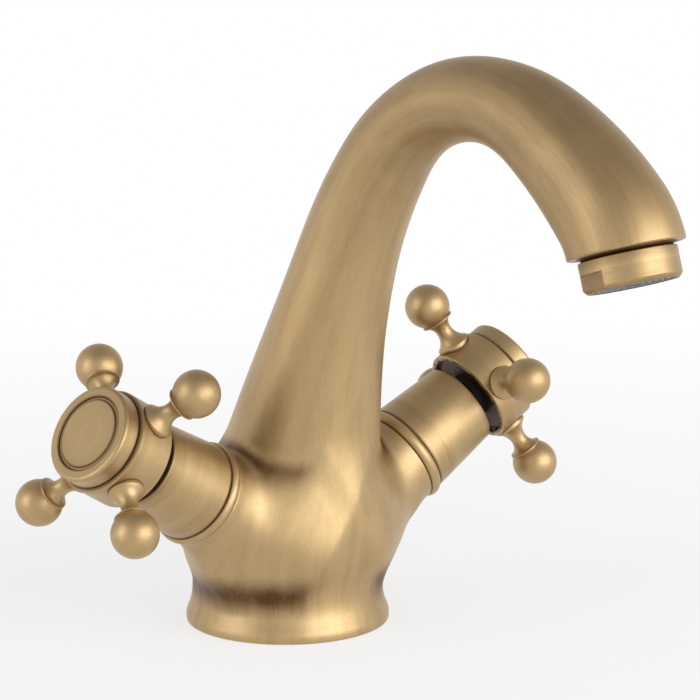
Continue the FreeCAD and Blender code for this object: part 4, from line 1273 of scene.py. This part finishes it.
@dataclass(frozen=True)
class CrossHandle:
    """A handle's hub, cap, disc and four ball-ended spokes."""

    side: Side
    angle: float
    back: float = 67.25
    front: float = 78.9
    radius: float = 13.9
    chamfer: float = 0.8
    back_rim: float = 1.5
    recess: float = 1.4
    bush: float = 6.0
    plug: float = 10.9
    plug_start: float = 76.9
    fit: float = 0.1
    cap_radius: float = 13.0
    cap_front: float = 83.9
    cap_round: float = 1.0
    groove_radius: float = 10.0
    groove_depth: float = 1.6
    disc_radius: float = 9.15
    rim_drop: float = 0.35
    spoke_plane: float = 72.8
    spokes: int = 4
    spoke_columns: int = 72
    ball_radius: float = 6.2
    ball_reach: float = 27.25
    fin_radius: float = 4.55
    fin_reach: float = 22.3
    fin_width: float = 0.6
    fin_edge: float = 0.12
    waist_radius: float = 2.2
    waist_reach: float = 18.9
    foot_depth: float = 2.0
    foot_radius: float = 4.7
    foot_edge: float = 0.7
    foot_fade: float = 1.6

    @property
    def place(self) -> Place:
        """Axes of the handle's valve."""
        return ValveAxis(self.side).place()

    @property
    def foot_top(self) -> float:
        """How far out the spoke's foot ends."""
        return self.radius + self.foot_edge

    def hub(self) -> Skin:
        """The barrel of the hub, open at its back and where the cap plugs in.

        Returns:
            The surface, with painted shade inside and brown with painted shade at both rims.
        """
        rim, floor, stop = self.radius - self.back_rim, self.back + self.recess, self.plug_start
        # The last number of each corner is brown left by rubbing and painted shade; the insides get
        # full painted shade.
        corners = [
            (self.bush, floor, 0, 1),
            (rim, floor, 0.2, 1),
            (rim, self.back + 0.3, 0, 1),
            (rim, self.back, 0.2, 0.6),
            (self.radius, self.back, 0.35, 0.05),
            (self.radius, (self.back + self.front) / 2, 0, 0),
            (self.radius, self.front - self.chamfer, 0.25, 0.05),
            (self.radius - self.chamfer, self.front, 0.12, 0.8),
            (self.plug, self.front, 0, 1),
            (self.plug, stop - self.fit, 0, 1),
            (self.bush, stop - self.fit, 0, 1),
        ]
        return lathe(self.place, corners, True)

    def cap(self) -> Skin:
        """The cap, with the groove round the disc as its recess.

        Returns:
            The surface, with brown and painted shade where it meets the hub and in the groove.
        """
        floor, plug, face = self.cap_front - self.groove_depth, self.plug - self.fit, self.cap_front
        corners = [
            (0, self.plug_start, 0, 1),
            (plug, self.plug_start, 0, 1),
            (plug, self.front, 0, 1),
            (self.cap_radius - 0.25, self.front, 0, 1),
            (self.cap_radius, self.front + 0.3, 0.1, 0.7),
            (self.cap_radius, self.front + 0.8, 0, 0.1),
            (self.cap_radius, face, self.cap_round, 0),
            (self.groove_radius + 0.6, face, 0, 0),
            (self.groove_radius, face, 0.18, 0.6),
            (self.groove_radius, floor, 0, 1),
            (0, floor, 0, 1),
        ]
        return lathe(self.place, corners, False)

    def disc(self) -> Skin:
        """The bare disc, flush with the cap's front, with a rim a little below it.

        Returns:
            The surface, with brown and painted shade at the disc's edge and under it.
        """
        face, rim, edge = self.cap_front, self.cap_front - self.rim_drop, self.groove_radius - 0.04
        corners = [
            (0, face - self.groove_depth, 0, 1),
            (edge, face - self.groove_depth, 0, 1),
            (edge, rim, 0, 1),
            (self.groove_radius - 0.3, rim, 0, 0.35),
            (self.disc_radius + 0.3, rim, 0, 0.35),
            (self.disc_radius, rim, 0, 1),
            (self.disc_radius, face, 0.15, 0.6),
            (self.disc_radius - 0.6, face, 0, 0.02),
            (self.disc_radius * 0.5, face, 0, 0),
            (0, face, 0, 0),
        ]
        return lathe(self.place, corners, False, PLAIN_COLUMNS)

    def spoke_profile(self) -> Array:
        """The outline from the spoke's foot to the top of its ball.

        The foot narrows on a hollow arc to the waist, a smaller hollow arc swells to the fin,
        and beyond the fin the outline is the ball's circle.

        Returns:
            Rows of radius, reach, and patina_and_shade: brown and painted shade.
        """
        fin0, fin1 = self.fin_reach - self.fin_width / 2, self.fin_reach + self.fin_width / 2
        waist, spot = self.waist_radius, self.waist_reach
        upward = spot - self.foot_top
        flare = arc_radius(self.foot_radius - waist, upward)
        meets = math.sqrt(self.ball_radius**2 - (self.ball_reach - fin1) ** 2)
        swell = arc_radius(meets - self.fin_width / 2 - waist, fin0 - spot)
        start = math.degrees(math.asin(upward / flare))
        end = math.degrees(math.asin((fin0 - spot) / swell))
        narrowing = arc((waist + flare, spot), flare, 180 + start, 180, 14)
        swelling = arc((waist + swell, spot), swell, 180, 180 - end, 8)
        low = math.degrees(math.atan2(fin1 - self.ball_reach, meets))
        ball = arc((0, self.ball_reach), self.ball_radius, low, 90, 40)
        foot = [
            (0, self.radius - self.foot_depth, 0, 1),
            (self.foot_radius, self.radius - self.foot_depth, 0, 1),
            (self.foot_radius, self.radius - 0.15, 0, 1),
            (self.foot_radius, self.radius + 0.12, 0, 0.9),
            (self.foot_radius, self.radius + 0.3, 0, 0.2),
            (self.foot_radius, self.foot_top, 0.16, 0),
        ]
        fin = [
            (self.fin_radius, self.fin_reach - self.fin_width / 4, self.fin_edge, 0),
            (self.fin_radius, self.fin_reach + self.fin_width / 4, self.fin_edge, 0),
            (meets + 0.02, fin1 - 0.02, 0, 0.75),
        ]
        return rounded([*foot, *narrowing[1:], *swelling[1:], *fin, *ball[1:]], False, 4)

    def spoke(self, number: int) -> Skin:
        """One spoke.

        The rows of its foot follow the hub's round: each point comes down by what the hub's
        circle falls away at that point, less and less towards the waist.

        Args:
            number: Which spoke, from 0, by quarter turns.

        Returns:
            The surface.
        """
        place = self.place
        turn = -self.side.value * self.angle + 360 / self.spokes * number
        stand = Place(place.points(self.spoke_plane), place.turned(turn).upright, place.axis)
        profile = self.spoke_profile()
        radius, reach = profile[:, :1], profile[:, 1:2]
        side = radius * np.sin(np.linspace(0, FULL_TURN, self.spoke_columns, endpoint=False))
        aside = np.minimum(np.abs(side), self.foot_radius)
        fall = self.radius - np.sqrt(self.radius**2 - aside**2)
        share = (reach - self.radius) / (self.foot_top - self.radius) / self.foot_fade
        reach = reach - fall * (1 - smoothstep(share))
        return turned_skin(stand, radius, reach, profile[:, 2], False, self.spoke_columns)

    def build(self, finishes: Finishes) -> None:
        """Adds the handle's pieces on its body.

        Args:
            finishes: Where materials come from.
        """
        label = self.side.label
        body = f"{label}_handle"
        pieces = [
            (self.hub(), "hub", "handle_hub"),
            (self.cap(), "cap", "handle_cap"),
            (self.disc(), "disc", "index_disc"),
        ]
        for k in range(self.spokes):
            pieces.append((self.spoke(k), f"ball_spoke_{k + 1}", f"spoke_{k + 1}"))
        for skin, name, node in pieces:
            add_piece(skin, f"{label}_{name}", body, f"{label}_{node}", finishes)


@dataclass(frozen=True)
class Aerator:
    """The aerator that screws into the outlet: its housing, and the insert in its mouth."""

    columns: int = 360
    thread_radius: float = 12.0
    thread_length: float = 7.0
    neck_radius: float = 11.1
    neck_start: float = -0.6
    ring_gap: float = 0.9
    ring_radius: float = 11.9
    ring_end: float = 7.45
    nose_radius: float = 11.0
    nose_end: float = 8.5
    mouth_radius: float = 10.4
    insert_radius: float = 9.6
    insert_end: float = 7.5
    insert_fit: float = 0.1
    face_end: float = 8.35
    face_ridge: float = 0.35
    face_pitch: float = 1.5
    face_edge: float = 0.08
    flats_half: float = 11.0
    flats_start: float = 3.9
    flats_turn: float = 10.0
    flats_line: float = 0.001
    flats_patina: float = 0.4

    def housing(self) -> Skin:
        """The housing, with two wrench flats.

        Past the flats' start a point's distance across them is kept to half their width.

        Returns:
            The surface, with brown and painted shade in its seams and brown on the flats.
        """
        ring, flats = self.ring_radius, self.flats_start
        corners = [
            (self.insert_radius, -self.thread_length, 0, 1),
            (self.thread_radius, -self.thread_length, 0, 1),
            (self.thread_radius, self.neck_start, 0, 1),
            (self.neck_radius, self.neck_start, 0, 1),
            (self.neck_radius, self.ring_gap, 0, 1),
            (ring, self.ring_gap, 0.25, 0.35),
            (ring, flats - 0.12, 0, 0),
            (ring, flats, 0, 0),
            (ring, flats + self.flats_line, 0, 0.3),
            (ring, flats + 0.12, 0, 0.1),
            (ring, self.ring_end, 0.3, 0.2),
            (self.nose_radius, self.nose_end, 0.2, 0.45),
            (self.mouth_radius, self.nose_end, 0.15, 0.8),
            (self.mouth_radius, self.insert_end + 0.3, 0, 1),
            (self.insert_radius, self.insert_end, 0, 1),
        ]
        place = SpoutLine().outlet().turned(self.flats_turn)
        made = lathe(place, corners, True, self.columns)
        along, up, over = place.local(made.points)
        pared = (along > flats + self.flats_line / 2) & (np.abs(up) > self.flats_half)
        made.points = place.points(along, np.where(pared, np.sign(up) * self.flats_half, up), over)
        made.patina_and_shade = np.where(pared, np.maximum(made.patina_and_shade, self.flats_patina), made.patina_and_shade)
        return made

    def insert(self) -> Skin:
        """The insert, whose face has round ridges between its rings of jets.

        Returns:
            The surface.
        """
        inner, outer = self.insert_radius - self.insert_fit, self.mouth_radius - self.insert_fit
        corners: list[Corner] = [
            (0, self.flats_start, 0, 0),
            (inner, self.flats_start, 0, 0),
            (inner, self.insert_end + 0.1, 0, 0),
            (outer, self.insert_end + 0.4, 0, 0),
        ]
        top, low, pitch = self.face_end, self.face_end - self.face_ridge, self.face_pitch
        while outer > pitch:
            for share, level in ((0, top), (0.4, top), (0.5, low), (0.9, low)):
                corners.append((outer - pitch * share, level, self.face_edge, 0))
            outer -= pitch
        corners.append((0, top, 0, 0))
        return lathe(SpoutLine().outlet(), corners, False, PLAIN_COLUMNS)

    def build(self, finishes: Finishes) -> None:
        """Adds the housing and the insert.

        Args:
            finishes: Where materials come from.
        """
        add_piece(self.housing(), "outlet_housing", "root", "aerator_housing", finishes)
        grey = Finish.GREY_PLASTIC
        add_piece(self.insert(), "outlet_insert", "root", "aerator_insert", finishes, grey)


# Inner pieces
@dataclass(frozen=True)
class Inside:
    """The CAD nodes that keep their shape, by the finish that they get."""

    kinds: tuple[tuple[Finish, tuple[str, ...]], ...] = (
        (Finish.PLAIN_BRASS, ("headwork", "spindle")),
        (Finish.BLACK_RUBBER, ("base_seal", "valve_seal", "seat_seal", "spindle_seals")),
        (Finish.BLACK_RUBBER, ("aerator_washer",)),
        (Finish.WHITE_CERAMIC, ("fixed_disc", "moving_disc")),
        (Finish.STAINLESS_STEEL, ("circlip", "handle_screw", "aerator_mesh")),
        # Painted shade: these are near-black for the shade in the gap between sleeve and hub.
        (Finish.BLACK_NYLON, ("thrust_washer", "spline_bush")),
        (Finish.GREY_PLASTIC, ("aerator_insert",)),
    )

    def build(self, nodes: dict[str, bpy.types.Object], finishes: Finishes) -> None:
        """Gives every CAD node its finish; those that a piece stands for get the brass.

        Args:
            nodes: The CAD nodes by name.
            finishes: Where materials come from.
        """
        known = {kind: finish for finish, kinds in self.kinds for kind in kinds}
        for name, node in nodes.items():
            kind = name.removeprefix("hot_").removeprefix("cold_")
            finishes.put(node, known.get(kind, Finish.ANTIQUE_BRASS))


# Studio
def stand(made: bpy.types.Object, right: Any, up: Any, back: Any, spot: Any) -> None:
    """Puts a lamp or a camera into the scene.

    Args:
        made: The lamp or camera.
        right: Its right-hand direction.
        up: Its upward direction.
        back: The direction away from what it looks at.
        spot: Its place in metres.
    """
    turn = np.eye(4)
    turn[:3] = np.stack([right, up, back, spot], -1)
    made.matrix_world = Matrix(turn.tolist())
    bpy.context.scene.collection.objects.link(made)


@dataclass(frozen=True)
class Lamp:
    """An upright soft lamp that looks at the tap from a direction. Lengths are metres."""

    name: str
    azimuth: float
    elevation: float
    distance: float
    width: float
    height: float
    power: float
    target: Triple = (0.0, -0.04, 0.08)

    def build(self) -> None:
        """Adds the lamp. Azimuth 0 is in front of the spout and 90 on the hot side."""
        light = bpy.data.lights.new(self.name, "AREA")
        light.shape, light.size, light.size_y = "RECTANGLE", self.width, self.height
        light.energy = self.power
        a, e = math.radians(self.azimuth), math.radians(self.elevation)
        away = np.array([-math.sin(a) * math.cos(e), -math.cos(a) * math.cos(e), math.sin(e)])
        right = unit(np.cross([0, 0, 1.0], away))
        lamp = bpy.data.objects.new(self.name, light)
        lamp.visible_camera = False
        spot = np.array(self.target) + away * self.distance
        stand(lamp, right, np.cross(away, right), away, spot)


@dataclass(frozen=True)
class Studio:
    """Pale floor, white surroundings, soft lamps and the photograph's camera, in metres."""

    lamps: tuple[Lamp, ...] = (
        Lamp("key", -14, 8, 1.4, 1.5, 1.4, 23.0),
        Lamp("side", 104, 10, 1.4, 0.6, 1.4, 6.5),
    )
    ambient: float = 0.85
    ceiling: float = 0.6
    eye: Triple = (-0.49947, -0.63906, 0.23492)
    right: Triple = (0.77431, -0.6328, -0.0028)
    down: Triple = (-0.12523, -0.1489, -0.98089)
    forward: Triple = (0.62029, 0.75986, -0.19454)
    focal: float = 3078.69
    frame_width: float = 700.0
    sensor: float = 36.0
    clip: Pair = (0.05, 50.0)
    floor_half: float = 3.0
    floor_drop: float = 0.0002
    floor_greys: Pair = (0.93, 0.95)
    cloud_scale: float = 6.0
    glow_start: float = 0.10
    glow_run: float = 0.35
    glow_least: float = 0.7

    def camera(self) -> None:
        """Stands the camera where the photograph was taken from."""
        data = bpy.data.cameras.new("camera")
        data.sensor_width = self.sensor
        data.lens = self.focal * self.sensor / self.frame_width
        data.clip_start, data.clip_end = self.clip
        camera = bpy.data.objects.new("camera", data)
        stand(camera, self.right, -np.array(self.down), -np.array(self.forward), self.eye)
        bpy.context.scene.camera = camera

    def world(self) -> None:
        """White to the camera and in reflections, and softer as light.

        What isn't seen straight by the camera is dimmed by the height of its direction.
        """
        world = bpy.data.worlds.new("studio")
        g = Graph(world)
        bpy.context.scene.world = world
        seen, glossy, through = (
            g.node("ShaderNodeLightPath", {}, {}, f"Is {kind} Ray")
            for kind in ("Camera", "Glossy", "Transmission")
        )
        shown = (seen + glossy + through).clamped()
        strength = shown * (1 - self.ambient) + self.ambient
        height = g.node("ShaderNodeSeparateXYZ", {}, {0: g.place("Generated")}, "Z").clamped()
        strength = strength * (1 - height * (1 - seen) * self.ceiling)
        white = {"Color": (1, 1, 1, 1), "Strength": strength}
        g.end(g.node("ShaderNodeBackground", {}, white), "World")

    def floor(self) -> None:
        """A wide pale floor just under the foot, which glows more away from the tap."""
        mesh = bpy.data.meshes.new("floor")
        w, h = self.floor_half, -self.floor_drop
        mesh.from_pydata([(-w, -w, h), (w, -w, h), (w, w, h), (-w, w, h)], [], [(0, 1, 2, 3)])
        floor = bpy.data.objects.new("floor", mesh)
        bpy.context.scene.collection.objects.link(floor)
        made = bpy.data.materials.new("pale_floor")
        g = Graph(made)
        place = g.place()
        greys = [(v, v, v, 1) for v in self.floor_greys]
        matt = {"Color": g.mix(g.noise(place, self.cloud_scale), *greys)}
        matt = g.node("ShaderNodeBsdfDiffuse", {}, matt)
        glow = g.node("ShaderNodeEmission", {}, {"Color": (1, 1, 1, 1), "Strength": 1.0})
        away = g.node("ShaderNodeVectorMath", {"operation": "LENGTH"}, {0: place}, "Value")
        share = ((away - self.glow_start) / self.glow_run).clamped()
        share = share * (1 - self.glow_least) + self.glow_least
        g.end(g.node("ShaderNodeMixShader", {}, {0: share, 1: matt, 2: glow}))
        mesh.materials.append(made)

    def build(self) -> None:
        """Adds the studio."""
        bpy.context.scene.view_settings.view_transform = "Standard"
        self.camera()
        self.world()
        self.floor()
        for lamp in self.lamps:
            lamp.build()


def main(frame: dict[str, Any]) -> None:
    """Builds the tap's pieces and the studio in order.
    """
    logging.basicConfig(level=logging.INFO, format="%(name)s %(message)s")
    finishes = Finishes()
    Inside().build(frame["nodes"], finishes)
    Casting().build(finishes)
    Aerator().build(finishes)
    for side, angle in ((Side.HOT, 42.8), (Side.COLD, 15.1)):
        ValveCover(side).build(finishes)
        CrossHandle(side, angle).build(finishes)
    Studio().build()


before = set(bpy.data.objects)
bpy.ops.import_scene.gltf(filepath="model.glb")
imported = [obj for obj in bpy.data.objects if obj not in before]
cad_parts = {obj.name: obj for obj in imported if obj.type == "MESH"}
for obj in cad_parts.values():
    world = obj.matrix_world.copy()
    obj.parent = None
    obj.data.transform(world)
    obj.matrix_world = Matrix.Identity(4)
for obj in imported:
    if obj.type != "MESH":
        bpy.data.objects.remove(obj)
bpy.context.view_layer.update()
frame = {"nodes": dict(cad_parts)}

if __name__ == "__main__":
    main(frame)
